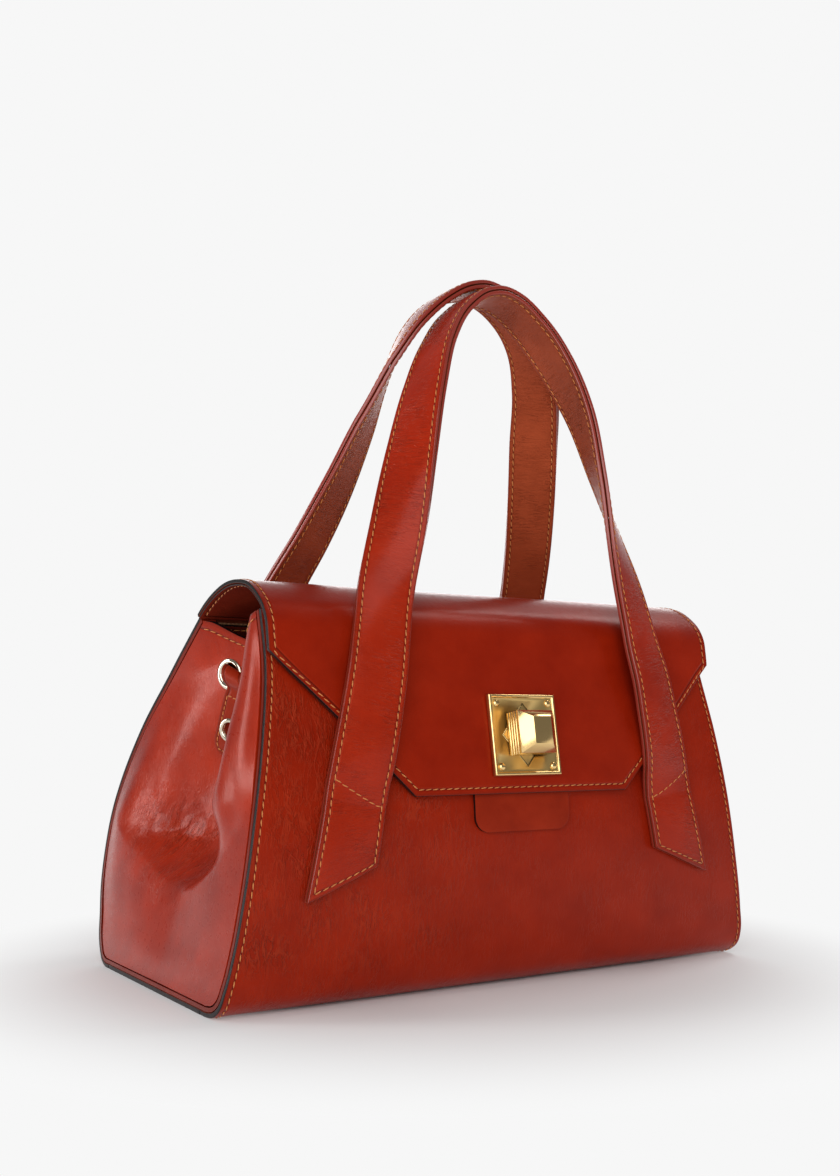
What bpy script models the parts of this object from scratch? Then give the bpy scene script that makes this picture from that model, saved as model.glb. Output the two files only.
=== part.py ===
"""Structured leather satchel with a turn-lock flap, two strap handles and cinched gussets.

The bag stands on its base with its front towards -Y. X runs to the right, Z runs up, and the
origin is the middle of the base, on the surface that the bag stands on. Lengths are in metres.
"""
import math

import bmesh
import bpy
import numpy as np
from mathutils import Matrix, Vector

MM = 0.001

# Body: overall sizes
BASE_HALF_WIDTH = 165.0 * MM
FRONT_DEPTH = 99.4 * MM
FRONT_HEIGHT = 191.0 * MM
BACK_DEPTH = 102.0 * MM
BACK_HEIGHT = 193.0 * MM

# Leather, lining and the space left between neighbouring layers
GAP = 0.3 * MM
PANEL_THICKNESS = 2.5 * MM
WELT_THICKNESS = 2.0 * MM
WELT_WIDTH = 8.0 * MM
GUSSET_THICKNESS = 1.8 * MM
LINING_THICKNESS = 0.8 * MM
BOARD_THICKNESS = 2.0 * MM
FACING_THICKNESS = 1.2 * MM
FACING_HEIGHT = 26.0 * MM
SEAM_ALLOWANCE = 10.0 * MM

# Side view of the front and back panels: (depth, height) as shares of each panel's own size
FRONT_PROFILE_SHARES = (
    (0.70, 0.0), (0.76, 0.0), (0.862, 0.011), (0.925, 0.036), (0.962, 0.078), (0.986, 0.157), (1.0, 0.314),
    (0.989, 0.497), (0.947, 0.681), (0.870, 0.864), (0.789, 1.0))
BACK_PROFILE_SHARES = (
    (0.62, 0.0), (0.68, 0.0), (0.755, 0.015), (0.812, 0.052), (0.892, 0.130), (0.971, 0.223), (1.0, 0.337),
    (0.980, 0.435), (0.912, 0.528), (0.696, 0.694), (0.353, 0.855), (-0.039, 1.0))
# Half the panels' width at each height, as (height, width) shares
WIDTH_SHARES = (
    (0.0, 1.0), (0.063, 0.993), (0.157, 0.972), (0.314, 0.940), (0.497, 0.907), (0.681, 0.873),
    (0.864, 0.844), (1.0, 0.838))

# Flap: its side view from the hinge line over the mouth, as (depth, height) shares of the
# front's depth and height, and its outline
FLAP_ARCH_SHARES = (
    (-0.085, 1.0245), (-0.257, 1.063), (-0.409, 1.081), (-0.561, 1.081), (-0.673, 1.070),
    (-0.787, 1.037), (-0.853, 1.006), (-0.894, 0.969), (-0.910, 0.927))
FLAP_THICKNESS = 2.0 * MM
FLAP_STANDOFF = 5.2 * MM
FLAP_HALF_WIDTH = 140.0 * MM
FLAP_CORNER_DROP = 20.5 * MM
TONGUE_HALF_WIDTH = 67.0 * MM
TONGUE_DROP = 90.4 * MM
FLAP_REACH_SHARES = (0.86, 0.80, 0.74, 0.68, 0.62, 0.565)
HINGE_GAP = 0.5 * MM

# Gusset: where its valley runs, how far it is drawn in, and the ledge of its dent
FOLD_DEPTH = 36.0 * MM
VALLEY_SHARES = ((0.0, -0.12), (0.27, -0.12), (0.53, -0.25), (0.68, -0.33), (0.83, -0.40), (1.0, -0.40))
FOLD_PLACE_SHARES = (-1.0, -0.8, -0.6, -0.4, -0.2, 0.0, 0.2, 0.4, 0.6, 0.8, 1.0)
FOLD_HEIGHT_SHARES = (0.0, 0.31, 0.44, 0.53, 0.65, 0.78, 0.90, 1.0)
FOLD_SHARES = (
    (0.00, 0.03, 0.10, 0.28, 0.48, 0.60, 0.50, 0.28, 0.05, -0.08, 0.00),
    (0.00, 0.03, 0.10, 0.28, 0.50, 0.64, 0.53, 0.31, 0.07, -0.09, 0.00),
    (0.00, 0.00, -0.03, 0.11, 0.47, 0.78, 0.66, 0.41, 0.11, -0.10, 0.00),
    (0.00, -0.08, -0.17, -0.08, 0.34, 0.83, 0.67, 0.39, 0.11, -0.06, 0.00),
    (0.00, -0.14, -0.18, 0.00, 0.44, 0.92, 0.67, 0.36, 0.11, 0.00, 0.00),
    (0.00, -0.11, -0.11, 0.11, 0.53, 0.97, 0.61, 0.36, 0.17, 0.06, 0.00),
    (0.00, -0.06, -0.03, 0.25, 0.61, 0.97, 0.56, 0.39, 0.25, 0.11, 0.00),
    (0.00, 0.01, 0.11, 0.33, 0.64, 0.94, 0.53, 0.36, 0.24, 0.11, 0.00))
LEDGE_SHARES = (0.00, 0.04, 0.08, 0.17, 0.26, 0.33, 0.25, 0.11, -0.03, -0.16, 0.00)
LEDGE_HEIGHT = 50.0 * MM
LEDGE_RISE = 38.0 * MM
LEDGE_BLEND = 17.0 * MM
GUSSET_TOP_DROP = 20.0 * MM
GUSSET_TOP_SHARES = (0.05, 0.15, 0.35, 0.60, 0.85, 1.0, 0.68, 0.48, 0.30, 0.14, 0.05)
LEDGE_BEND_POWER = 1.4
LEDGE_START_POWER = 1.5
# Where the gusset's leather is sampled, across it and up it
GUSSET_PLACE_SHARES = (
    -1.0, -0.96, -0.84, -0.70, -0.54, -0.38, -0.24, -0.11, 0.0, 0.11, 0.24, 0.38, 0.54, 0.70, 0.84,
    0.96, 1.0)
GUSSET_RISE_SHARES = (
    0.0, 0.004, 0.011, 0.021, 0.037, 0.065, 0.12, 0.19, 0.245, 0.285, 0.32, 0.36, 0.42, 0.50, 0.60,
    0.70, 0.80, 0.90, 1.0)
SLOPE_STEP_SHARE = 0.01
# The gusset's leather lies this far inside the panels' outer faces
SEAM_GAP = 0.45 * MM
GUSSET_OUT = -(PANEL_THICKNESS + GAP + WELT_THICKNESS + SEAM_GAP)
GUSSET_BOTTOM = -GUSSET_OUT

# Handles: places along one half, from the fold line to the crest, as shares of the half
# spread, of the fore and aft reach and of the rise
STRAP_WIDTH = 28.0 * MM
STRAP_END_WIDTH = 33.0 * MM
STRAP_FLARE_SHARE = 0.35
STRAP_THICKNESS = 4.6 * MM
HANDLE_HALF_SPREAD = 100.0 * MM
FRONT_FOLD_DROP = 94.0 * MM
FRONT_HANDLE_RISE = 267.0 * MM
FRONT_HANDLE_REACH = 28.8 * MM
FRONT_HANDLE_SHARES = (
    (1.0, 0.0, 0.0), (0.985, -0.09, 0.037), (0.971, -0.18, 0.067), (0.958, -0.24, 0.094),
    (0.934, -0.28, 0.135), (0.907, -0.225, 0.180), (0.874, -0.085, 0.240), (0.795, 0.200, 0.385),
    (0.700, 0.310, 0.515), (0.602, 0.445, 0.655), (0.500, 0.580, 0.785), (0.385, 0.780, 0.880),
    (0.235, 0.940, 0.955), (0.098, 0.995, 0.992), (0.0, 1.0, 1.0))
BACK_FOLD_DROP = 56.0 * MM
BACK_HANDLE_RISE = 233.0 * MM
BACK_HANDLE_REACH = 127.0 * MM
BACK_HANDLE_SHARES = (
    (1.0, 0.0, 0.0), (0.970, 0.072, 0.040), (0.940, 0.170, 0.098), (0.905, 0.275, 0.170),
    (0.865, 0.375, 0.245), (0.812, 0.478, 0.330), (0.742, 0.590, 0.420), (0.652, 0.715, 0.545),
    (0.565, 0.825, 0.680), (0.478, 0.925, 0.810), (0.380, 0.972, 0.895), (0.240, 0.992, 0.958),
    (0.098, 0.999, 0.992), (0.0, 1.0, 1.0))
# How far a strap has turned from facing forwards or back to facing outwards, by its rise
FRONT_TWIST_SHARES = (
    (0.0, 0.0), (0.04, 0.04), (0.10, 0.10), (0.20, 0.125), (0.30, 0.155), (0.43, 0.27), (0.53, 0.45),
    (0.627, 0.645), (0.78, 0.85), (0.90, 1.0), (1.0, 1.0))
BACK_TWIST_SHARES = (
    (0.0, 0.0), (0.12, 0.04), (0.32, 0.22), (0.50, 0.33), (0.68, 0.51), (0.75, 0.645), (0.84, 0.82),
    (0.93, 1.0), (1.0, 1.0))
STRAP_STEPS = 27
END_STEPS = 6
STRAP_SQUARE_SHARE = 0.12
# Stitched strap ends: how far they run below the fold line, and how far out they lean
END_OUTER_DROP = 44.0 * MM
END_INNER_DROP = 29.0 * MM
END_OUTER_REACH = 126.5 * MM
END_INNER_REACH = 89.0 * MM
FOLD_AXIS_RELIEF = 1.0 * MM

# Turn lock
LOCK_DROP = 60.8 * MM
LOCK_PLATE_SIZE = 42.0 * MM
LOCK_PLATE_THICKNESS = 2.0 * MM
LOCK_RIM_WIDTH = 1.6 * MM
LOCK_RIM_HEIGHT = 0.8 * MM
LOZENGE_HALF_WIDTH = 14.5 * MM
LOZENGE_HALF_HEIGHT = 16.8 * MM
LOZENGE_LINE = 0.9 * MM
LOZENGE_DEPTH = 0.5 * MM
RIVET_INSET = 4.6 * MM
RIVET_SHANK_RADIUS = 1.2 * MM
RIVET_HEAD_RADIUS = 2.0 * MM
RIVET_HEAD_HEIGHT = 1.2 * MM
RIVET_CLEARANCE = 0.3 * MM
HEAD_ROUND_SHARE = 0.8
KNOB_SIZE = 22.0 * MM
KNOB_BLOCK_HEIGHT = 10.0 * MM
KNOB_CROWN_HEIGHT = 5.5 * MM
KNOB_FACE_WIDTH = 11.0 * MM
KNOB_FACE_HEIGHT = 14.0 * MM
KNOB_REED_DEPTH = 1.0 * MM
KNOB_REEDS = 3
SPINDLE_RADIUS = 2.5 * MM
SPINDLE_CLEARANCE = 0.4 * MM
LATCH_WIDTH = 5.0 * MM
LATCH_LENGTH = 13.0 * MM
LATCH_THICKNESS = 2.5 * MM
SLOT_CLEARANCE = 1.0 * MM
SLOT_REACH = 24.0 * MM
SLOT_RISE = 12.0 * MM
SLOT_WIDTH = 9.0 * MM
BACKING_PLATE_SIZE = 38.0 * MM
RECEIVER_WIDTH = 15.0 * MM
RECEIVER_MARGIN = 3.5 * MM
RECEIVER_THICKNESS = 1.5 * MM
RECEIVER_BACK_THICKNESS = 1.0 * MM
PATCH_HALF_WIDTH = 30.0 * MM
PATCH_BOTTOM_DROP = 49.2 * MM
PATCH_TOP_RISE = 25.8 * MM
PATCH_THICKNESS = 1.5 * MM
PATCH_CORNER = 8.0 * MM

# Cinch straps and eyelets
EYELET_HOLE_RADIUS = 5.2 * MM
EYELET_BARREL = 0.8 * MM
EYELET_FLANGE_RADIUS = 8.5 * MM
EYELET_FLANGE_THICKNESS = 1.2 * MM
EYELET_SINK = 0.45 * MM
EYELET_DROP = 29.0 * MM
EYELET_BACK_PLACE_SHARE = 0.385
EYELET_FRONT_PLACE_SHARE = -0.29
TAB_WIDTH = 16.0 * MM
TAB_NECK_WIDTH = 5.0 * MM
TAB_THICKNESS = 2.2 * MM
TAB_LENGTH = 33.5 * MM
TAB_SHOULDER_DROP = 8.5 * MM
TAB_EYELET_INSET = 13.4 * MM
TAB_EYELET_HOLE = 4.0 * MM
TAB_EYELET_FLANGE = 6.4 * MM
TAB_STANDOFF = 3.2 * MM
NECK_INSET = 7.0 * MM
# Where each tab's middle line lies between the gusset's seams, at its tip and at its shoulder
TAB_BACK_PLACE_SHARES = (0.21, 0.27)
TAB_FRONT_PLACE_SHARES = (-0.23, -0.26)
CINCH_STEPS = 44
TAB_STEPS = 5
EYELET_SIDES = 18
TAB_ROUND_SHARE = 0.25
TAB_TIP_SHARE = 0.3
NECK_FLARE_SHARE = 1.5

# Length by which a cut runs past what it goes through
OVERRUN = 8.0 * MM

# Heights that follow from the drops below the top of the front and back panels
FLAP_CORNER_HEIGHT = FRONT_HEIGHT - FLAP_CORNER_DROP
TONGUE_HEIGHT = FRONT_HEIGHT - TONGUE_DROP
FRONT_FOLD_HEIGHT = FRONT_HEIGHT - FRONT_FOLD_DROP
BACK_FOLD_HEIGHT = BACK_HEIGHT - BACK_FOLD_DROP
LOCK_HEIGHT = FRONT_HEIGHT - LOCK_DROP
PATCH_BOTTOM = LOCK_HEIGHT - PATCH_BOTTOM_DROP
PATCH_TOP = LOCK_HEIGHT + PATCH_TOP_RISE
EYELET_HEIGHT = FRONT_HEIGHT - EYELET_DROP
TAB_SHOULDER = EYELET_HEIGHT - TAB_SHOULDER_DROP
TAB_BOTTOM = TAB_SHOULDER - TAB_LENGTH
TAB_EYELET_HEIGHT = TAB_BOTTOM + TAB_EYELET_INSET

# How finely the pieces are divided
FRONT_STEPS = 30
BACK_STEPS = 36
FLAP_STEPS_ABOVE = 22
FLAP_STEPS_BELOW = 7
PLATE_STEPS = 5
PATCH_STEPS = 7
CORNER_STEPS = 4
ROUND_SIDES = 24
RIVET_SIDES = 12
SHARP_ANGLE = math.radians(35.0)

SIDE_SHARES = (("left", -1.0), ("right", 1.0))
CORNER_SHARES = ((-1.0, -1.0), (1.0, -1.0), (1.0, 1.0), (-1.0, 1.0))

LEATHER = (0.36, 0.045, 0.018)
LEATHER_SMOOTH = (0.32, 0.038, 0.015)
LEATHER_LINING = (0.42, 0.10, 0.045)
EDGE_PAINT = (0.045, 0.018, 0.014)
LINING = (0.30, 0.12, 0.06)
BOARD = (0.30, 0.24, 0.17)
GOLD = (0.83, 0.62, 0.30)
NICKEL = (0.78, 0.74, 0.66)


def smooth_curve(points, steps):
    """Points on a smooth curve through the given ones, with steps of even length."""
    points = np.array(points, float)
    knots = np.concatenate(([0.0], np.cumsum(np.linalg.norm(np.diff(points, axis=0), axis=1))))
    slopes = np.gradient(points, knots, axis=0)
    fine = np.linspace(0.0, knots[-1], 24 * len(points))
    span = np.clip(np.searchsorted(knots, fine, side="right") - 1, 0, len(knots) - 2)
    width = (knots[span + 1] - knots[span])[:, None]
    u = (fine[:, None] - knots[span][:, None]) / width
    curve = ((2 * u**3 - 3 * u**2 + 1) * points[span] + (u**3 - 2 * u**2 + u) * width * slopes[span]
             + (3 * u**2 - 2 * u**3) * points[span + 1] + (u**3 - u**2) * width * slopes[span + 1])
    lengths = np.concatenate(([0.0], np.cumsum(np.linalg.norm(np.diff(curve, axis=0), axis=1))))
    even = np.linspace(0.0, lengths[-1], steps + 1)
    return np.stack([np.interp(even, lengths, column) for column in curve.T], axis=1)


class Section:
    """A smooth line in the bag's side view, measured by the length along it."""

    def __init__(self, points, outward):
        self.points = smooth_curve(points, 400)
        steps = np.linalg.norm(np.diff(self.points, axis=0), axis=1)
        self.lengths = np.concatenate(([0.0], np.cumsum(steps)))
        self.length = self.lengths[-1]
        tangents = np.gradient(self.points, self.lengths, axis=0)
        tangents /= np.linalg.norm(tangents, axis=1)[:, None]
        self.normals = outward * np.stack([tangents[:, 1], -tangents[:, 0]], axis=1)

    def at(self, length, out=0.0):
        """Depth and height of the point at this length, moved outwards."""
        point = [np.interp(length, self.lengths, column) for column in self.points.T]
        normal = [np.interp(length, self.lengths, column) for column in self.normals.T]
        return point[0] + out * normal[0], point[1] + out * normal[1]

    def normal(self, length):
        """Direction that faces out of the bag at this length."""
        return Vector((0.0, *(np.interp(length, self.lengths, column) for column in self.normals.T)))

    def at_height(self, height, out=0.0):
        """Length at which the line, moved outwards, reaches this height."""
        heights = self.points[:, 1] + out * self.normals[:, 1]
        return float(np.interp(height, heights, self.lengths))

    def stations(self, steps, start=0.0, end=None):
        """Lengths from start to end, closer together where the line bends."""
        turns = np.linalg.norm(np.diff(self.normals, axis=0), axis=1)
        turned = np.concatenate(([0.0], np.cumsum(turns)))
        weight = self.lengths / self.length + turned / turned[-1]
        fixed = np.interp(np.linspace(0.0, weight[-1], steps + 1), weight, self.lengths)
        end = self.length if end is None else end
        spacing = self.length / steps / 4.0
        inside = [s for s in fixed if start + spacing < s < end - spacing]
        return [start, *inside, end]

    def length_on_front(self, height):
        """Length at which the falling part of the line comes down to this height."""
        falling = slice(int(np.argmax(self.points[:, 1])), None)
        return float(np.interp(-height, -self.points[falling, 1], self.lengths[falling]))

    def depth_at(self, height, out):
        """Depth at this height of the line moved outwards."""
        return self.at(self.at_height(height, out), out)[0]


front = Section([(-y * FRONT_DEPTH, z * FRONT_HEIGHT) for y, z in FRONT_PROFILE_SHARES], -1.0)
back = Section([(y * BACK_DEPTH, z * BACK_HEIGHT) for y, z in BACK_PROFILE_SHARES], 1.0)


def flap_section():
    """The flap's outer line: off the back panel, over the mouth and down the front panel."""
    start = back.at(back.length)
    heights = [share * FRONT_HEIGHT for share in FLAP_REACH_SHARES] + [TONGUE_HEIGHT]
    arch = [(y * FRONT_DEPTH, z * FRONT_HEIGHT) for y, z in FLAP_ARCH_SHARES]
    reach = [front.at(front.at_height(z, FLAP_STANDOFF), FLAP_STANDOFF) for z in heights]
    return Section([start] + arch + reach, 1.0)


flap = flap_section()
HEIGHTS = np.linspace(0.0, FRONT_HEIGHT, 200)
HALF_WIDTHS = np.interp(HEIGHTS, *smooth_curve(
    [(z * FRONT_HEIGHT, w * BASE_HALF_WIDTH) for z, w in WIDTH_SHARES], 200).T)


def half_width(height):
    """Half the width of the front and back panels at this height."""
    return float(np.interp(height, HEIGHTS, HALF_WIDTHS))


def surface(name, color, roughness=0.4, metallic=0.0):
    """A plain material with its colour, roughness and metallic value."""
    material = bpy.data.materials.get(name) or bpy.data.materials.new(name)
    material.use_nodes = True
    shader = material.node_tree.nodes["Principled BSDF"]
    shader.inputs["Base Color"].default_value = (*color, 1.0)
    shader.inputs["Roughness"].default_value = roughness
    shader.inputs["Metallic"].default_value = metallic
    return material


def finish(name, bm, material):
    """Turn a bmesh into a named, smooth-shaded object whose faces point outwards."""
    bmesh.ops.recalc_face_normals(bm, faces=bm.faces)
    mesh = bpy.data.meshes.new(name)
    bm.to_mesh(mesh)
    bm.free()
    mesh.shade_smooth()
    mesh.set_sharp_from_angle(angle=SHARP_ANGLE)
    mesh.materials.append(material)
    obj = bpy.data.objects.new(name, mesh)
    bpy.context.scene.collection.objects.link(obj)
    return obj


def slab(name, outer, inner, material):
    """A closed sheet between two grids of points, each a list of rows of equal length."""
    bm = bmesh.new()
    grids = [[[bm.verts.new(point) for point in row] for row in grid] for grid in (outer, inner)]
    for grid in grids:
        for row, following in zip(grid, grid[1:]):
            for j in range(len(row) - 1):
                bm.faces.new((row[j], row[j + 1], following[j + 1], following[j]))
    rims = [(grid[0] + [row[-1] for row in grid[1:]] + grid[-1][-2::-1]
             + [row[0] for row in grid[-2:0:-1]]) for grid in grids]
    for j in range(len(rims[0])):
        k = (j + 1) % len(rims[0])
        bm.faces.new((rims[0][j], rims[0][k], rims[1][k], rims[1][j]))
    return finish(name, bm, material)


def sheet(name, section, rows, far, near, columns, material):
    """A sheet lying on a section: each row runs from (x, length) to (x, length)."""
    grids = []
    for out in (far, near):
        grid = []
        for (x_start, s_start), (x_end, s_end) in rows:
            shares = np.linspace(0.0, 1.0, columns + 1)
            places = [(x_start + u * (x_end - x_start), s_start + u * (s_end - s_start)) for u in shares]
            grid.append([Vector((x, *section.at(s, out))) for x, s in places])
        grids.append(grid)
    return slab(name, *grids, material)


def cut(obj, *cutters):
    """Take each cutter's shape out of an object."""
    for cutter in cutters:
        cutter.hide_render = True
        cutter.display_type = "WIRE"
        modifier = obj.modifiers.new("cut", "BOOLEAN")
        modifier.operation = "DIFFERENCE"
        modifier.solver = "EXACT"
        modifier.object = cutter


def box(name, size, center, material, frame=Matrix()):
    """A block, placed in a frame."""
    bm = bmesh.new()
    bmesh.ops.create_cube(bm, size=1.0)
    bmesh.ops.scale(bm, vec=size, verts=bm.verts)
    bmesh.ops.translate(bm, vec=center, verts=bm.verts)
    bm.transform(frame)
    return finish(name, bm, material)


def turned(name, profile, material, frame=Matrix(), sides=ROUND_SIDES, closed=True):
    """A ring or disc turned about the frame's Z axis from a (radius, height) outline."""
    bm = bmesh.new()
    angles = [2.0 * math.pi * k / sides for k in range(sides)]
    rings = []
    for radius, height in profile:
        if radius == 0.0:
            rings.append([bm.verts.new((0.0, 0.0, height))] * sides)
        else:
            ring = [(radius * math.cos(a), radius * math.sin(a), height) for a in angles]
            rings.append([bm.verts.new(point) for point in ring])
    pairs = list(zip(rings, rings[1:])) + ([(rings[-1], rings[0])] if closed else [])
    for lower, upper in pairs:
        for k in range(sides):
            n = (k + 1) % sides
            corners = dict.fromkeys((lower[k], lower[n], upper[n], upper[k]))
            bm.faces.new(tuple(corners))
    bm.transform(frame)
    return finish(name, bm, material)


def disc_profile(radius, bottom, top):
    """Outline of a plain round bar."""
    return [(0.0, bottom), (radius, bottom), (radius, top), (0.0, top)]


def place_frame(origin, z_axis, y_hint):
    """A frame at a point, with its Z axis given and its Y axis near the hint."""
    z_axis = z_axis.normalized()
    x_axis = y_hint.cross(z_axis).normalized()
    y_axis = z_axis.cross(x_axis)
    frame = Matrix((x_axis, y_axis, z_axis)).transposed().to_4x4()
    return Matrix.Translation(origin) @ frame


# Materials
RED = surface("leather_front", LEATHER, 0.38)
SMOOTH = surface("leather_smooth", LEATHER_SMOOTH, 0.30)
UNDER = surface("leather_under", LEATHER_LINING, 0.5)
PAINT = surface("edge_paint", EDGE_PAINT, 0.35)
CLOTH = surface("lining", LINING, 0.85)
CARD = surface("board", BOARD, 0.9)
BRASS = surface("gold", GOLD, 0.15, 1.0)
SILVER = surface("nickel", NICKEL, 0.18, 1.0)


# Body panels
def panel(name, section, steps, far, near, margin, start, end, material):
    """A sheet over a wall's width, between two lengths along its section."""
    rows = []
    for s in section.stations(steps, start, end):
        reach = half_width(section.at(s)[1]) - margin
        rows.append(((-reach, s), (reach, s)))
    return sheet(name, section, rows, far, near, 2, material)


def build_body():
    """Outer leather, linings and facings of the two walls, and the layers of the base."""
    base_front = front.at(0.0)[0]
    base_back = back.at(0.0)[0]
    walls = {"front": (front, FRONT_STEPS), "back": (back, BACK_STEPS)}
    panels = {}
    for side, (section, steps) in walls.items():
        panels[side] = panel(f"{side}_panel", section, steps, 0.0, -PANEL_THICKNESS, 0.0,
                             0.0, section.length, RED if side == "front" else SMOOTH)
        lining_far = -PANEL_THICKNESS - GAP
        lining_near = lining_far - LINING_THICKNESS
        panels[side + "_lining"] = panel(
            f"{side}_lining", section, steps, lining_far, lining_near, SEAM_ALLOWANCE,
            section.at_height(2.0 * SEAM_ALLOWANCE), section.length - WELT_THICKNESS, CLOTH)
        facing_far = lining_near - GAP
        panel(f"{side}_top_facing", section, steps, facing_far, facing_far - FACING_THICKNESS,
              SEAM_ALLOWANCE + WELT_THICKNESS, section.length - FACING_HEIGHT,
              section.length - WELT_THICKNESS, UNDER)

    layers = (
        ("base_panel", PANEL_THICKNESS, 0.0, GAP, SMOOTH),
        ("base_stiffener_board", BOARD_THICKNESS, SEAM_ALLOWANCE, -WELT_THICKNESS, CARD),
        ("base_lining", LINING_THICKNESS, SEAM_ALLOWANCE + WELT_THICKNESS, 0.0, CLOTH))
    bottom = 0.0
    for name, thickness, side_margin, end_margin, material in layers:
        length = base_back - base_front - 2.0 * end_margin
        size = (2.0 * (BASE_HALF_WIDTH - side_margin), length, thickness)
        center = (0.0, (base_front + base_back) / 2.0, bottom + thickness / 2.0)
        box(name, size, center, material)
        bottom += thickness + GAP
    return panels


def seam_path(depth):
    """Side view of the seam round a gusset: down the front, along the base and up the back."""
    down = [front.at(s, -depth) for s in front.stations(FRONT_STEPS)[::-1]]
    up = [back.at(s, -depth) for s in back.stations(BACK_STEPS)]
    return down + up


def build_welts():
    """The folded strip sewn between each gusset and the walls and base."""
    far = PANEL_THICKNESS + GAP
    grids = [seam_path(far), seam_path(far + WELT_THICKNESS)]
    edge_heights = [z for _, z in seam_path(0.0)]
    for side, sign in SIDE_SHARES:
        rows = [[[Vector((sign * (half_width(h) - inset), y, z)) for inset in (WELT_WIDTH, 0.0)]
                 for (y, z), h in zip(grid, edge_heights)] for grid in grids]
        slab(f"{side}_welt", *rows, PAINT)


# Gussets
PLACE_SHARES = np.linspace(-1.0, 1.0, 161)
FOLD_ROWS = np.array([np.interp(PLACE_SHARES, *smooth_curve(list(zip(FOLD_PLACE_SHARES, row)), 320).T)
                      for row in FOLD_SHARES])
LEDGE_ROW = np.interp(PLACE_SHARES, *smooth_curve(list(zip(FOLD_PLACE_SHARES, LEDGE_SHARES)), 320).T)
TOP_ROW = np.interp(PLACE_SHARES, *smooth_curve(list(zip(FOLD_PLACE_SHARES, GUSSET_TOP_SHARES)), 320).T)


def smoothstep(value):
    """Ease from 0 to 1 as the value goes from 0 to 1."""
    value = min(max(value, 0.0), 1.0)
    return value * value * (3.0 - 2.0 * value)


def fold_inset(place, height):
    """How far a gusset lies inside the panels' edges, by its place across and its height."""
    share = height / FRONT_HEIGHT
    columns = [np.interp(place, PLACE_SHARES, row) for row in FOLD_ROWS]
    folded = np.interp(share, *smooth_curve(list(zip(FOLD_HEIGHT_SHARES, columns)), 60).T)
    ledge = np.interp(place, PLACE_SHARES, LEDGE_ROW)
    line = LEDGE_HEIGHT + LEDGE_RISE * abs(place) ** LEDGE_BEND_POWER
    flat = ledge * min(height / line, 1.0) ** LEDGE_START_POWER
    blend = smoothstep((height - line) / LEDGE_BLEND)
    return FOLD_DEPTH * float(flat * (1.0 - blend) + folded * blend)


def gusset_point(side, place, rise):
    """A point on a gusset's outside: place is -1 at the front seam and 1 at the back seam."""
    top = FRONT_HEIGHT - GUSSET_TOP_DROP * float(np.interp(place, PLACE_SHARES, TOP_ROW))
    height = GUSSET_BOTTOM + rise * (top - GUSSET_BOTTOM)
    valley = BACK_DEPTH * float(np.interp(height / FRONT_HEIGHT, *zip(*VALLEY_SHARES)))
    seam = front.depth_at(height, GUSSET_OUT) if place < 0.0 else back.depth_at(height, GUSSET_OUT)
    depth = valley + abs(place) * (seam - valley)
    return Vector((side * (half_width(height) - fold_inset(place, height)), depth, height))


def gusset_rise(place, height):
    """How far up the gusset a height is, as a share of its own height at that place."""
    top = FRONT_HEIGHT - GUSSET_TOP_DROP * float(np.interp(place, PLACE_SHARES, TOP_ROW))
    return (height - GUSSET_BOTTOM) / (top - GUSSET_BOTTOM)


def gusset_frame(side, place, height, out=0.0):
    """A frame on a gusset's outside, with Z facing out of the bag and Y up the leather."""
    rise = gusset_rise(place, height)
    step = SLOPE_STEP_SHARE
    center = gusset_point(side, place, rise)
    across = gusset_point(side, place + step, rise) - gusset_point(side, place - step, rise)
    up = gusset_point(side, place, rise + step) - gusset_point(side, place, rise - step)
    normal = across.cross(up).normalized()
    if normal.x * side < 0.0:
        normal = -normal
    return place_frame(center + out * normal, normal, up)


def gusset_grids(side, depths):
    """Grids of a gusset at several depths below its outside, with a flange at each seam."""
    points = np.array([[gusset_point(side, place, rise) for place in GUSSET_PLACE_SHARES]
                       for rise in GUSSET_RISE_SHARES])
    across = np.gradient(points, axis=1)
    up = np.gradient(points, axis=0)
    normals = np.cross(across, up)
    normals /= np.linalg.norm(normals, axis=2)[:, :, None]
    normals *= np.sign(normals[:, 1:-1, 0].mean()) * side
    grids = []
    for depth in depths:
        inner = points - depth * normals
        grid = []
        for i, row in enumerate(inner):
            seams = []
            for end, section in ((0, front), (-1, back)):
                height = points[i][end][2]
                s = section.at_height(height, GUSSET_OUT)
                y, z = section.at(s, GUSSET_OUT - depth)
                width = half_width(section.at(s)[1])
                reach = [width - WELT_WIDTH, width - WELT_THICKNESS - depth]
                seams.append([Vector((side * x, y, z)) for x in reach])
            middle = [Vector(point) for point in row[1:-1]]
            grid.append(seams[0] + middle + seams[1][::-1])
        grids.append(grid)
    return grids


def eyelet_profile(hole, flange, grip_top, grip_bottom):
    """Outline of a rolled eyelet that grips a layer between two heights."""
    barrel = hole + EYELET_BARREL
    top = grip_top + EYELET_FLANGE_THICKNESS
    bottom = grip_bottom - EYELET_FLANGE_THICKNESS
    middle = (hole + flange) / 2.0
    return [(hole, grip_bottom), (hole, grip_top), (middle, top), (flange, grip_top),
            (barrel, grip_top), (barrel, grip_bottom), (flange, grip_bottom), (middle, bottom)]


def eyelet_seat(name, frame, hole, flange, grip_top, grip_bottom):
    """Cutter for the hole and the pressed seats of an eyelet."""
    barrel = hole + EYELET_BARREL + GAP
    rim = flange + GAP
    profile = [(0.0, grip_bottom - OVERRUN), (rim, grip_bottom - OVERRUN), (rim, grip_bottom + GAP),
               (barrel, grip_bottom + GAP), (barrel, grip_top - GAP), (rim, grip_top - GAP),
               (rim, grip_top + OVERRUN), (0.0, grip_top + OVERRUN)]
    return turned(name, profile, CLOTH, frame, EYELET_SIDES, closed=False)


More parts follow.
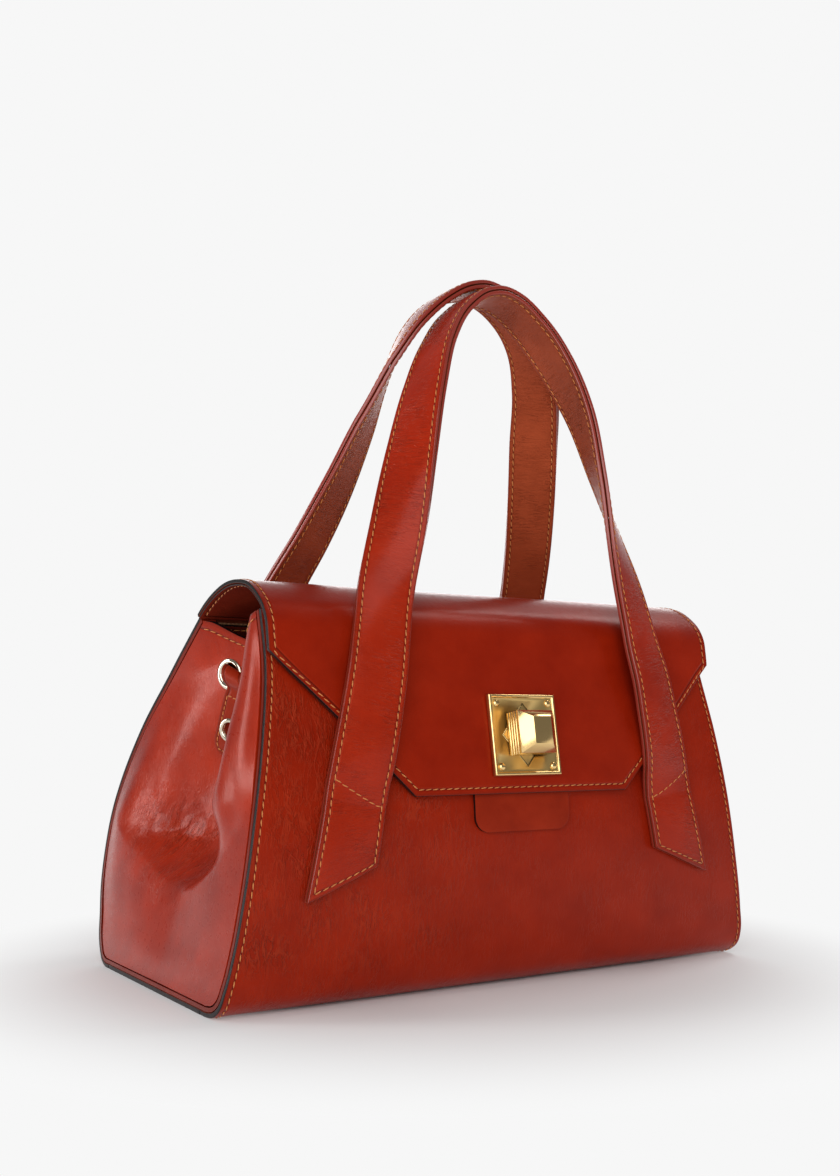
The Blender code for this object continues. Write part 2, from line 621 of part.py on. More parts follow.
def build_gussets():
    """Both gussets, each a folded sheet with two eyelets pressed through it."""
    for side_name, side in SIDE_SHARES:
        outer, inner = gusset_grids(side, (0.0, GUSSET_THICKNESS))
        gusset = slab(f"{side_name}_gusset", outer, inner, SMOOTH)
        for end_name, place in (("front", EYELET_FRONT_PLACE_SHARE), ("back", EYELET_BACK_PLACE_SHARE)):
            frame = gusset_frame(side, place, EYELET_HEIGHT)
            grip = (-EYELET_SINK, -GUSSET_THICKNESS)
            seat = eyelet_seat(f"{side_name}_{end_name}_seat", frame, EYELET_HOLE_RADIUS,
                               EYELET_FLANGE_RADIUS, *grip)
            cut(gusset, seat)
            turned(f"{side_name}_{end_name}_gusset_eyelet",
                   eyelet_profile(EYELET_HOLE_RADIUS, EYELET_FLANGE_RADIUS, *grip), SILVER, frame,
                   EYELET_SIDES)


def ribbon(name, points, faces, half_widths, far, near, material):
    """A strap swept along points, each with the direction that its outer face looks in."""
    tangents = np.gradient(np.array(points), axis=0)
    grids = [[], []]
    for point, face, tangent, reach in zip(points, faces, tangents, half_widths):
        tangent = Vector(tangent).normalized()
        face = (face - face.dot(tangent) * tangent).normalized()
        across = tangent.cross(face).normalized()
        for grid, out in zip(grids, (far, near)):
            grid.append([Vector(point) + out * face + u * reach * across for u in (-1.0, 0.0, 1.0)])
    return slab(name, *grids, material)


def tab_frame(side, place_shares, height):
    """A frame on a tab's middle line at this height, with Z facing out of the bag."""
    place = float(np.interp(height, (TAB_BOTTOM, TAB_SHOULDER), place_shares))
    return gusset_frame(side, place, height, TAB_STANDOFF)


def build_cinch_strap(side_name, side):
    """A strap drawn through both gusset eyelets, with a tab hanging from each."""
    halves = []
    for place, tab_shares in ((EYELET_BACK_PLACE_SHARE, TAB_BACK_PLACE_SHARES),
                              (EYELET_FRONT_PLACE_SHARE, TAB_FRONT_PLACE_SHARES)):
        tab = []
        for height in np.linspace(TAB_BOTTOM, TAB_SHOULDER, TAB_STEPS + 1):
            frame = tab_frame(side, tab_shares, height)
            shoulder = (height - TAB_BOTTOM) / (TAB_SHOULDER - TAB_BOTTOM)
            narrow = max(0.0, 1.0 - shoulder / TAB_ROUND_SHARE)
            width_share = TAB_TIP_SHARE + (1.0 - TAB_TIP_SHARE) * math.sqrt(max(0.0, 1.0 - narrow ** 2))
            tab.append((frame.translation, frame.col[2].to_3d(), TAB_WIDTH / 2.0 * width_share))
        hole = gusset_frame(side, place, EYELET_HEIGHT)
        normal = hole.col[2].to_3d()
        up = hole.col[1].to_3d()
        center = hole.translation
        neck = TAB_NECK_WIDTH / 2.0
        tab.append((center + TAB_STANDOFF * normal - NECK_INSET / 2.0 * up, normal,
                    neck * NECK_FLARE_SHARE))
        tab.append((center + TAB_STANDOFF / 2.0 * normal, (normal + up).normalized(), neck))
        tab.append((center - TAB_THICKNESS * normal, up, neck))
        tab.append((center - NECK_INSET * normal, up, neck))
        halves.append(tab)
    valley = gusset_frame(side, 0.0, EYELET_HEIGHT)
    inside = valley.translation - side * Vector((NECK_INSET, 0.0, 0.0))
    middle = [(inside, Vector((0.0, 0.0, 1.0)), TAB_NECK_WIDTH / 2.0)]
    stations = halves[0] + middle + halves[1][::-1]
    points = [Vector(p) for p, _, _ in stations]
    packed = np.array([[*p, *f, w] for p, f, w in stations])
    path = smooth_curve(packed[:, :3], CINCH_STEPS)
    keys = np.concatenate(([0.0], np.cumsum([(b - a).length for a, b in zip(points, points[1:])])))
    keys /= keys[-1]
    shares = np.linspace(0.0, 1.0, len(path))
    faces = [Vector([np.interp(u, keys, packed[:, 3 + k]) for k in range(3)]) for u in shares]
    widths = [float(np.interp(u, keys, packed[:, 6])) for u in shares]
    half = TAB_THICKNESS / 2.0
    strap = ribbon(f"{side_name}_cinch_strap", [tuple(p) for p in path], faces, widths, half, -half,
                   SMOOTH)
    for end_name, tab_shares in (("front", TAB_FRONT_PLACE_SHARES), ("back", TAB_BACK_PLACE_SHARES)):
        frame = tab_frame(side, tab_shares, TAB_EYELET_HEIGHT)
        seat = eyelet_seat(f"{side_name}_{end_name}_tab_seat", frame, TAB_EYELET_HOLE,
                           TAB_EYELET_FLANGE, half, -half)
        cut(strap, seat)
        turned(f"{side_name}_{end_name}_tab_eyelet",
               eyelet_profile(TAB_EYELET_HOLE, TAB_EYELET_FLANGE, half, -half), SILVER, frame,
               EYELET_SIDES)


# Strap handles
def handle_stations(section, fold_height, rise, reach, shares, twist, facing):
    """Places along a handle, each with its point, the way its outer face looks and half its width."""
    middle = GAP + STRAP_THICKNESS / 2.0
    fold = section.at_height(fold_height)
    start_y, start_z = section.at(fold, middle)
    half = [(-x * HANDLE_HALF_SPREAD, start_y + y * reach, start_z + z * rise) for x, y, z in shares]
    full = half + [(-x, y, z) for x, y, z in half[-2::-1]]
    path = smooth_curve(full, 2 * STRAP_STEPS)
    start_face = section.normal(fold)
    start_tangent = Vector((0.0, -start_face.z, start_face.y))
    start_tangent *= math.copysign(1.0, start_tangent.z)
    stations = []
    for point, tangent in zip(path, np.gradient(path, axis=0)):
        share = (point[2] - start_z) / rise
        free = smoothstep(share / STRAP_SQUARE_SHARE)
        along = math.copysign(1.0, tangent[2]) * start_tangent
        tangent = (along * (1.0 - free) + Vector(tangent).normalized() * free).normalized()
        turn = float(np.interp(share, *zip(*twist))) * math.pi / 2.0
        ahead = (start_face * (1.0 - free) + Vector((0.0, facing, 0.0)) * free).normalized()
        outward = Vector((-tangent.z, 0.0, tangent.x)).normalized()
        face = math.cos(turn) * ahead + math.sin(turn) * outward
        face = (face - face.dot(tangent) * tangent).normalized()
        width = float(np.interp(share, (0.0, STRAP_FLARE_SHARE), (STRAP_END_WIDTH, STRAP_WIDTH)))
        stations.append((Vector(point), face, tangent.cross(face).normalized() * width / 2.0))
    return stations


def build_handle(side, section, fold_height, rise, reach, shares, twist, facing):
    """Two layers of a strap handle, and the two stitched ends below its fold."""
    stations = handle_stations(section, fold_height, rise, reach, shares, twist, facing)
    half_gap = GAP / 2.0
    half = STRAP_THICKNESS / 2.0
    layers = (("outer", half, half_gap, SMOOTH), ("lining", -half_gap, -half, UNDER))
    for layer, far, near, material in layers:
        grids = [[[point + out * face + u * across for u in (-1.0, 0.0, 1.0)]
                  for point, face, across in stations] for out in (far, near)]
        slab(f"{side}_handle_{layer}", *grids, material)

    fold = section.at_height(fold_height)
    for end, sign in SIDE_SHARES:
        top_inner = (sign * (HANDLE_HALF_SPREAD - STRAP_END_WIDTH / 2.0), fold - GAP)
        top_outer = (sign * (HANDLE_HALF_SPREAD + STRAP_END_WIDTH / 2.0), fold - GAP)
        low_inner = (sign * END_INNER_REACH, fold - END_INNER_DROP)
        low_outer = (sign * END_OUTER_REACH, fold - END_OUTER_DROP)
        rows = []
        for u in np.linspace(0.0, 1.0, END_STEPS + 1):
            start = tuple(np.array(low_outer) * (1.0 - u) + np.array(top_outer) * u)
            stop = tuple(np.array(low_inner) * (1.0 - u) + np.array(top_inner) * u)
            rows.append((start, stop))
        sheet(f"{side}_{end}_handle_end", section, rows, GAP + STRAP_THICKNESS, GAP, 3, SMOOTH)


# Flap
def flap_rows(margin):
    """Rows across the flap, from its hinge over the mouth to the end of its tongue."""
    corner = flap.length_on_front(FLAP_CORNER_HEIGHT)
    rows = []
    for s in np.linspace(HINGE_GAP, corner, FLAP_STEPS_ABOVE + 1):
        rows.append(((-FLAP_HALF_WIDTH + margin, s), (FLAP_HALF_WIDTH - margin, s)))
    for u in np.linspace(0.0, 1.0, FLAP_STEPS_BELOW + 1)[1:]:
        reach = FLAP_HALF_WIDTH + u * (TONGUE_HALF_WIDTH - FLAP_HALF_WIDTH) - margin
        s = corner + u * (flap.length - margin - corner)
        rows.append(((-reach, s), (reach, s)))
    return rows


def build_flap():
    """The flap's outer leather and its lining."""
    leather_sheet = sheet("flap", flap, flap_rows(0.0), 0.0, -FLAP_THICKNESS, 2, SMOOTH)
    lining_far = -FLAP_THICKNESS - GAP
    lining = sheet("flap_lining", flap, flap_rows(GAP), lining_far,
                   lining_far - LINING_THICKNESS, 2, UNDER)
    return leather_sheet, lining


# Turn lock, built in a frame on the flap: X right, Y up the flap and Z out of it
def lock_length():
    """Length along the flap at which the lock sits."""
    return flap.length_on_front(LOCK_HEIGHT)


def lock_frame():
    """The lock's frame, on the flap's outer face."""
    center = Vector((0.0, *flap.at(lock_length())))
    return place_frame(center, flap.normal(lock_length()), Vector((0.0, 0.0, 1.0)))


def plate_on(section, name, middle, low, high, width, far, near):
    """A thin plate that follows a section, from low to high along it about its middle."""
    rows = [((-width / 2.0, middle + u), (width / 2.0, middle + u))
            for u in np.linspace(low, high, PLATE_STEPS + 1)]
    return sheet(name, section, rows, far, near, 1, BRASS)


def loft(name, levels, material, frame):
    """A body stacked from rectangles, each given as (height, half width, half length)."""
    bm = bmesh.new()
    rings = []
    for z, half_x, half_y in levels:
        rings.append([bm.verts.new((a * half_x, b * half_y, z)) for a, b in CORNER_SHARES])
    bm.faces.new(rings[0][::-1])
    bm.faces.new(rings[-1])
    for lower, upper in zip(rings, rings[1:]):
        for k in range(4):
            n = (k + 1) % 4
            bm.faces.new((lower[k], lower[n], upper[n], upper[k]))
    bm.transform(frame)
    return finish(name, bm, material)


def build_lock(panels, flap_sheet, flap_lining):
    """The turn lock: plates on both sides of the flap, knob, spindle, latch bar and receiver."""
    frame = lock_frame()
    plate_half = LOCK_PLATE_SIZE / 2.0
    plate_bottom = GAP
    plate_top = plate_bottom + LOCK_PLATE_THICKNESS
    rim_half = plate_half - LOCK_RIM_WIDTH
    plate = loft("lock_plate", (
        (plate_bottom, plate_half, plate_half),
        (plate_top + LOCK_RIM_HEIGHT / 2.0, plate_half, plate_half),
        (plate_top + LOCK_RIM_HEIGHT, plate_half - LOCK_RIM_WIDTH / 3.0, plate_half - LOCK_RIM_WIDTH / 3.0),
        (plate_top + LOCK_RIM_HEIGHT, rim_half, rim_half),
        (plate_top, rim_half - LOCK_RIM_WIDTH / 2.0, rim_half - LOCK_RIM_WIDTH / 2.0)), BRASS, frame)
    groove = lozenge_cutter(frame, plate_top)
    bore = turned("spindle_bore", disc_profile(
        SPINDLE_RADIUS + SPINDLE_CLEARANCE, -OVERRUN, OVERRUN), BRASS, frame, closed=False)
    cut(plate, groove, bore)

    backing_far = -FLAP_THICKNESS - GAP
    backing_near = backing_far - LINING_THICKNESS
    backing_half = BACKING_PLATE_SIZE / 2.0
    backing = plate_on(flap, "lock_backing_plate", lock_length(), -backing_half, backing_half,
                       BACKING_PLATE_SIZE, backing_far, backing_near)
    recess = box("backing_recess", (BACKING_PLATE_SIZE + 2.0 * GAP,) * 2 + (2.0 * OVERRUN,),
                 (0.0, 0.0, 0.0), BRASS, frame)
    cut(flap_lining, recess)
    cut(flap_sheet, bore)
    corner = plate_half - RIVET_INSET
    for k, (a, b) in enumerate(CORNER_SHARES):
        spot = frame @ Matrix.Translation((a * corner, b * corner, 0.0))
        hole = turned(f"rivet_hole_{k}", disc_profile(
            RIVET_SHANK_RADIUS + RIVET_CLEARANCE, -OVERRUN, OVERRUN), BRASS, spot, RIVET_SIDES, False)
        cut(plate, hole)
        cut(flap_sheet, hole)
        stud = turned(f"rivet_{k}", (
            (0.0, backing_near), (RIVET_SHANK_RADIUS, backing_near),
            (RIVET_SHANK_RADIUS, plate_top + GAP), (RIVET_HEAD_RADIUS, plate_top + GAP),
            (RIVET_HEAD_RADIUS * HEAD_ROUND_SHARE, plate_top + RIVET_HEAD_HEIGHT * HEAD_ROUND_SHARE),
            (0.0, plate_top + RIVET_HEAD_HEIGHT)), BRASS, spot, RIVET_SIDES, False)
        stud.hide_render = True
        stud.display_type = "WIRE"
        join = backing.modifiers.new("rivet", "BOOLEAN")
        join.operation = "UNION"
        join.solver = "EXACT"
        join.object = stud
    cut(backing, bore)

    half = KNOB_SIZE / 2.0
    bottom = plate_top + GAP
    levels = [(bottom, half, half)]
    band = KNOB_BLOCK_HEIGHT / KNOB_REEDS
    for k in range(KNOB_REEDS - 1):
        z = bottom + band * (k + 1)
        levels += [(z - band / 5.0, half, half), (z, half - KNOB_REED_DEPTH, half),
                   (z + band / 5.0, half, half)]
    block_top = bottom + KNOB_BLOCK_HEIGHT
    levels += [(block_top, half, half),
               (block_top + KNOB_CROWN_HEIGHT, KNOB_FACE_WIDTH / 2.0, KNOB_FACE_HEIGHT / 2.0)]
    loft("lock_knob", levels, BRASS, frame)

    # Layers behind the flap, down to the inside of the bag
    panel_out = -FLAP_STANDOFF
    lining_in = panel_out - PANEL_THICKNESS - GAP - LINING_THICKNESS
    receiver_back_far = lining_in - GAP
    receiver_back_near = receiver_back_far - RECEIVER_BACK_THICKNESS
    latch_far = receiver_back_near - GAP
    turned("lock_spindle", disc_profile(SPINDLE_RADIUS, latch_far + GAP, bottom - GAP), BRASS, frame,
           closed=False)
    box("lock_latch_bar", (LATCH_WIDTH, LATCH_LENGTH, LATCH_THICKNESS),
        (0.0, 0.0, latch_far - LATCH_THICKNESS / 2.0), BRASS, frame)

    slot_length = LATCH_LENGTH + 2.0 * SLOT_CLEARANCE + SLOT_RISE
    slot_center = SLOT_RISE / 2.0
    slot = box("lock_slot", (SLOT_WIDTH, slot_length, 2.0 * SLOT_REACH), (0.0, slot_center, 0.0),
               BRASS, frame)
    outer_length = slot_length + 2.0 * RECEIVER_MARGIN
    foot = front.at_height(LOCK_HEIGHT, FLAP_STANDOFF)
    low = slot_center - outer_length / 2.0
    high = slot_center + outer_length / 2.0
    receiver = plate_on(front, "receiver_plate", foot, low, high, RECEIVER_WIDTH,
                        GAP + RECEIVER_THICKNESS, GAP)
    receiver_recess = box("receiver_recess", (RECEIVER_WIDTH + 2.0 * GAP, outer_length + 2.0 * GAP,
                                              2.0 * SLOT_REACH), (0.0, slot_center, 0.0), BRASS, frame)
    back_out = receiver_back_far + FLAP_STANDOFF
    receiver_back = plate_on(front, "receiver_backplate", foot, low, high, RECEIVER_WIDTH,
                             back_out, back_out - RECEIVER_BACK_THICKNESS)
    patch = build_patch()
    cut(patch, receiver_recess)
    for piece in (receiver, receiver_back, panels["front"], panels["front_lining"]):
        cut(piece, slot)


def lozenge_cutter(frame, plate_top):
    """A four-sided line cut round the middle of the lock plate."""
    bm = bmesh.new()
    rings = []
    for z in (plate_top - LOZENGE_DEPTH, plate_top + LOZENGE_DEPTH):
        for inset in (0.0, LOZENGE_LINE):
            reach_x = LOZENGE_HALF_WIDTH - inset
            reach_y = LOZENGE_HALF_HEIGHT - inset
            corners = ((reach_x, 0.0), (0.0, reach_y), (-reach_x, 0.0), (0.0, -reach_y))
            rings.append([bm.verts.new((x, y, z)) for x, y in corners])
    for first, second in ((0, 1), (1, 3), (3, 2), (2, 0)):
        for k in range(4):
            n = (k + 1) % 4
            bm.faces.new((rings[first][k], rings[first][n], rings[second][n], rings[second][k]))
    bm.transform(frame)
    return finish("lozenge_cutter", bm, BRASS)


def build_patch():
    """Leather patch under the tongue, with round lower corners."""
    rows = []
    for u in np.linspace(0.0, 1.0, CORNER_STEPS + 1):
        angle = u * math.pi / 2.0
        reach = PATCH_HALF_WIDTH - PATCH_CORNER * (1.0 - math.sin(angle))
        s = front.at_height(PATCH_BOTTOM) + PATCH_CORNER * (1.0 - math.cos(angle))
        rows.append(((-reach, s), (reach, s)))
    top = front.at_height(PATCH_TOP)
    for s in np.linspace(rows[-1][0][1], top, PATCH_STEPS + 1)[1:]:
        rows.append(((-PATCH_HALF_WIDTH, s), (PATCH_HALF_WIDTH, s)))
    return sheet("lock_patch", front, rows, GAP + PATCH_THICKNESS, GAP, 2, SMOOTH)


# Joints: each moving body hangs from an empty on its axis
def pivot(name, location, parent=None):
    """An empty on a joint's axis."""
    empty = bpy.data.objects.new(name, None)
    bpy.context.scene.collection.objects.link(empty)
    empty.matrix_world = Matrix.Translation(location)
    if parent is not None:
        empty.parent = parent
        empty.matrix_parent_inverse = parent.matrix_world.inverted()
    bpy.context.view_layer.update()
    return empty


def hang(empty, *names):
    """Parent pieces to an empty, where they are."""
    for name in names:
        obj = bpy.data.objects[name]
        obj.parent = empty
        obj.matrix_parent_inverse = empty.matrix_world.inverted()


def strap_axis(section, fold_height):
    """A strap folds about a line just outside its outer face."""
    out = GAP + STRAP_THICKNESS + FOLD_AXIS_RELIEF
    return Vector((0.0, *section.at(section.at_height(fold_height), out)))


def build_joints():
    """The flap's hinge, the lock's turn and the folds of the two handles."""
    hinge = pivot("flap_hinge", Vector((0.0, *flap.at(HINGE_GAP / 2.0, HINGE_GAP))))
    hang(hinge, "flap", "flap_lining", "lock_plate", "lock_backing_plate")
    turn = pivot("lock_turn", lock_frame().translation, hinge)
    hang(turn, "lock_knob", "lock_spindle", "lock_latch_bar")
    for side, section, height in (("front", front, FRONT_FOLD_HEIGHT), ("back", back, BACK_FOLD_HEIGHT)):
        fold = pivot(f"{side}_handle_fold", strap_axis(section, height))
        hang(fold, f"{side}_handle_outer", f"{side}_handle_lining")


def main():
    """Build the whole bag."""
    for obj in list(bpy.data.objects):
        bpy.data.objects.remove(obj)
    panels = build_body()
    build_welts()
    build_gussets()
    for side_name, side in SIDE_SHARES:
        build_cinch_strap(side_name, side)
    build_handle("front", front, FRONT_FOLD_HEIGHT, FRONT_HANDLE_RISE, FRONT_HANDLE_REACH,
                 FRONT_HANDLE_SHARES, FRONT_TWIST_SHARES, -1.0)
    build_handle("back", back, BACK_FOLD_HEIGHT, BACK_HANDLE_RISE, -BACK_HANDLE_REACH,
                 BACK_HANDLE_SHARES, BACK_TWIST_SHARES, 1.0)
    flap_sheet, flap_lining = build_flap()
    build_lock(panels, flap_sheet, flap_lining)
    build_joints()


main()
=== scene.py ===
"""A chestnut leather satchel with a gold turn lock, standing on a pale floor.

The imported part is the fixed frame. Each leather piece is laid again over its plain solid as a fine
sheet with rounded edges, and the sewing, the hardware's finish and all the materials are made here.
X runs to the right, Z runs up and the front faces -Y. Lengths are in metres.
"""
import math

import bpy
import numpy as np
from mathutils import Matrix, Vector, noise


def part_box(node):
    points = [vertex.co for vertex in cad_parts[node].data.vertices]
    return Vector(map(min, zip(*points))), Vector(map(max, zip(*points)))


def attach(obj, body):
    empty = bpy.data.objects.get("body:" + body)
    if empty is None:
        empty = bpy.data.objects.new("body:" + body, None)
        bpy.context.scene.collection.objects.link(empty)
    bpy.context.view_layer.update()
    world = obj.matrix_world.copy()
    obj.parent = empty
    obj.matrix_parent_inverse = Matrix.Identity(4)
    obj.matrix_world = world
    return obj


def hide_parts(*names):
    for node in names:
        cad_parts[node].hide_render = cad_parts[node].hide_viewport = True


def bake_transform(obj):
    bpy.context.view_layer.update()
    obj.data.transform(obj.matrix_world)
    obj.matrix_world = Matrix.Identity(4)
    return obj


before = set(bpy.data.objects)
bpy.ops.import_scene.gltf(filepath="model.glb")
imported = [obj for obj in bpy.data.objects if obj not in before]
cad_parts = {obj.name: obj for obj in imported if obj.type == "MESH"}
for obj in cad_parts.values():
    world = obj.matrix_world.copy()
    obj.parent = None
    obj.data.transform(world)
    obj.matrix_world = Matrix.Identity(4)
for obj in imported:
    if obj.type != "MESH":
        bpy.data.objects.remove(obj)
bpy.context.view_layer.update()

MM = 0.001

# The camera of the photograph
bpy.ops.object.camera_add(
    location=(-0.3884, -0.6173, 0.134), rotation=(math.radians(90.0), 0.0, math.radians(-32.18)))
camera = bpy.context.object
camera.data.sensor_width = 36.0
camera.data.lens = 38.22
camera.data.shift_y = 0.119
bpy.context.scene.camera = camera

# Sizes of the bag, as in its CAD source: its walls, base and linings
BASE_HALF_WIDTH = 165.0 * MM
FRONT_DEPTH = 99.4 * MM
FRONT_HEIGHT = 191.0 * MM
BACK_DEPTH = 102.0 * MM
BACK_HEIGHT = 193.0 * MM
GAP = 0.3 * MM
PANEL_THICKNESS = 2.5 * MM
WELT_THICKNESS = 2.0 * MM
WELT_WIDTH = 8.0 * MM
GUSSET_THICKNESS = 1.8 * MM
LINING_THICKNESS = 0.8 * MM
FACING_THICKNESS = 1.2 * MM
FACING_HEIGHT = 26.0 * MM
SEAM_ALLOWANCE = 10.0 * MM
SEAM_GAP = 0.45 * MM
PANEL_HOLLOW = 0.5 * MM
# The walls in side view, from the base up: shares of each wall's depth and height
FRONT_PROFILE = (
    (0.70, 0.0), (0.76, 0.0), (0.862, 0.011), (0.925, 0.036), (0.962, 0.078), (0.986, 0.157), (1.0, 0.314),
    (0.989, 0.497), (0.947, 0.681), (0.870, 0.864), (0.789, 1.0))
BACK_PROFILE = (
    (0.62, 0.0), (0.68, 0.0), (0.755, 0.015), (0.812, 0.052), (0.892, 0.130), (0.971, 0.223), (1.0, 0.337),
    (0.980, 0.435), (0.912, 0.528), (0.696, 0.694), (0.353, 0.855), (-0.039, 1.0))
# The walls' width: shares of the front's height and of the base's width
WIDTHS = (
    (0.0, 1.0), (0.063, 0.993), (0.157, 0.972), (0.314, 0.940), (0.497, 0.907), (0.681, 0.873),
    (0.864, 0.844), (1.0, 0.838))

# Flap: its line over the mouth as shares of the front's depth and height
FLAP_ARCH = (
    (-0.085, 1.0245), (-0.257, 1.063), (-0.409, 1.081), (-0.561, 1.081), (-0.673, 1.070),
    (-0.787, 1.037), (-0.853, 1.006), (-0.894, 0.969), (-0.910, 0.927))
# Heights down the front that the flap then follows, as shares of the front's
FLAP_REACH = (0.86, 0.80, 0.74, 0.68, 0.62, 0.565)
FLAP_THICKNESS = 2.0 * MM
FLAP_STANDOFF = 5.2 * MM
FLAP_HALF_WIDTH = 140.0 * MM
FLAP_CORNER_HEIGHT = 170.5 * MM
TONGUE_HALF_WIDTH = 67.0 * MM
TONGUE_HEIGHT = 100.6 * MM
HINGE_GAP = 0.5 * MM

# Gussets
FOLD_DEPTH = 36.0 * MM
# A gusset's fold: the depth of its valley at each height, then how far in each place lies there
VALLEY = ((0.0, -0.12), (0.27, -0.12), (0.53, -0.25), (0.68, -0.33), (0.83, -0.40), (1.0, -0.40))
FOLD_PLACES = (-1.0, -0.8, -0.6, -0.4, -0.2, 0.0, 0.2, 0.4, 0.6, 0.8, 1.0)
FOLD_HEIGHTS = (0.0, 0.31, 0.44, 0.53, 0.65, 0.78, 0.90, 1.0)
FOLDS = (
    (0.00, 0.03, 0.10, 0.28, 0.48, 0.60, 0.50, 0.28, 0.05, -0.08, 0.00),
    (0.00, 0.03, 0.10, 0.28, 0.50, 0.64, 0.53, 0.31, 0.07, -0.09, 0.00),
    (0.00, 0.00, -0.03, 0.11, 0.47, 0.78, 0.66, 0.41, 0.11, -0.10, 0.00),
    (0.00, -0.08, -0.17, -0.08, 0.34, 0.83, 0.67, 0.39, 0.11, -0.06, 0.00),
    (0.00, -0.14, -0.18, 0.00, 0.44, 0.92, 0.67, 0.36, 0.11, 0.00, 0.00),
    (0.00, -0.11, -0.11, 0.11, 0.53, 0.97, 0.61, 0.36, 0.17, 0.06, 0.00),
    (0.00, -0.06, -0.03, 0.25, 0.61, 0.97, 0.56, 0.39, 0.25, 0.11, 0.00),
    (0.00, 0.01, 0.11, 0.33, 0.64, 0.94, 0.53, 0.36, 0.24, 0.11, 0.00))
# The ledge below the fold, from seam to seam, and the line that it follows
LEDGE = (0.00, 0.00, 0.01, 0.04, 0.08, 0.11, 0.07, 0.00, -0.07, -0.12, 0.00)
LEDGE_HEIGHT = 51.0 * MM
LEDGE_RISE = 38.0 * MM
LEDGE_BLEND = 24.0 * MM
LEDGE_CREASE = 0.07
GUSSET_FACE = 0.985
GUSSET_TOP_DROP = 20.0 * MM
GUSSET_TOP = (0.05, 0.15, 0.35, 0.60, 0.85, 1.0, 0.68, 0.48, 0.30, 0.14, 0.05)

# Handles
STRAP_WIDTH = 28.0 * MM
STRAP_END_WIDTH = 33.0 * MM
STRAP_FLARE = 0.35
STRAP_THICKNESS = 4.6 * MM
STRAP_CROWN = 0.55 * MM
HANDLE_HALF_SPREAD = 100.0 * MM
FRONT_FOLD_HEIGHT = 97.0 * MM
FRONT_HANDLE_RISE = 267.0 * MM
FRONT_HANDLE_REACH = 28.8 * MM
BACK_FOLD_HEIGHT = 137.0 * MM
BACK_HANDLE_RISE = 233.0 * MM
BACK_HANDLE_REACH = -127.0 * MM
# Each handle's half: shares of its half spread, of its reach to the front or back and of its rise. The
# front strap rests on the flap here. In the CAD it stands off a little, to let the flap past.
FRONT_HANDLE = (
    (1.0, 0.0, 0.0), (0.983, -0.010, 0.037), (0.968, -0.042, 0.067), (0.954, -0.056, 0.094),
    (0.931, -0.056, 0.135), (0.906, -0.042, 0.180), (0.874, -0.010, 0.240), (0.835, 0.100, 0.309),
    (0.795, 0.200, 0.385), (0.700, 0.310, 0.515), (0.602, 0.445, 0.655), (0.500, 0.580, 0.785),
    (0.385, 0.780, 0.880), (0.235, 0.940, 0.955), (0.098, 0.995, 0.992), (0.0, 1.0, 1.0))
BACK_HANDLE = (
    (1.0, 0.0, 0.0), (0.970, 0.072, 0.040), (0.940, 0.170, 0.098), (0.905, 0.275, 0.170),
    (0.865, 0.375, 0.245), (0.812, 0.478, 0.330), (0.742, 0.590, 0.420), (0.652, 0.715, 0.545),
    (0.565, 0.825, 0.680), (0.478, 0.925, 0.810), (0.380, 0.972, 0.895), (0.240, 0.992, 0.958),
    (0.098, 0.999, 0.992), (0.0, 1.0, 1.0))
# How far a strap has turned from facing ahead to facing outwards, at shares of its rise
FRONT_TWIST = (
    (0.0, 0.0), (0.04, 0.04), (0.10, 0.10), (0.20, 0.125), (0.30, 0.155), (0.43, 0.27), (0.53, 0.45),
    (0.627, 0.645), (0.78, 0.85), (0.90, 1.0), (1.0, 1.0))
BACK_TWIST = (
    (0.0, 0.0), (0.12, 0.04), (0.32, 0.22), (0.50, 0.33), (0.68, 0.51), (0.75, 0.645), (0.84, 0.82),
    (0.93, 1.0), (1.0, 1.0))
STRAP_SQUARE = 0.12
END_OUTER_DROP = 44.0 * MM
END_INNER_DROP = 29.0 * MM
END_OUTER_REACH = 126.5 * MM
END_INNER_REACH = 89.0 * MM

# Turn lock, its slot and receiver, and the patch below it
LOCK_HEIGHT = 130.2 * MM
LOCK_PLATE_SIZE = 42.0 * MM
LOCK_PLATE_THICKNESS = 2.0 * MM
LOCK_RIM_WIDTH = 1.6 * MM
LOCK_RIM_HEIGHT = 0.8 * MM
LOZENGE_HALF_WIDTH = 14.5 * MM
LOZENGE_HALF_HEIGHT = 16.8 * MM
LOZENGE_LINE = 1.0 * MM
LOZENGE_DEPTH = 0.5 * MM
RIVET_INSET = 4.6 * MM
RIVET_HEAD_RADIUS = 2.0 * MM
RIVET_HEAD_HEIGHT = 1.2 * MM
BACKING_PLATE = (38.0 * MM, 36.0 * MM)
RIM_BEAD = 0.66 * MM
KNOB_SIZE = 22.0 * MM
KNOB_BLOCK_HEIGHT = 10.0 * MM
KNOB_CROWN_HEIGHT = 5.5 * MM
KNOB_FACE_WIDTH = 11.0 * MM
KNOB_FACE_HEIGHT = 14.0 * MM
KNOB_REEDS = 4
KNOB_REED_RADIUS = 0.55 * MM
BORE_RADIUS = 2.9 * MM
SLOT_WIDTH = 9.0 * MM
SLOT_LENGTH = 27.0 * MM
SLOT_RISE = 12.0 * MM
RECEIVER_WIDTH = 15.0 * MM
RECEIVER_MARGIN = 3.5 * MM
CUTTER_DEPTH = 40.0 * MM
PATCH_HALF_WIDTH = 30.0 * MM
PATCH_BOTTOM = 81.0 * MM
PATCH_TOP = 156.0 * MM
PATCH_THICKNESS = 1.5 * MM
PATCH_CORNER = 8.0 * MM

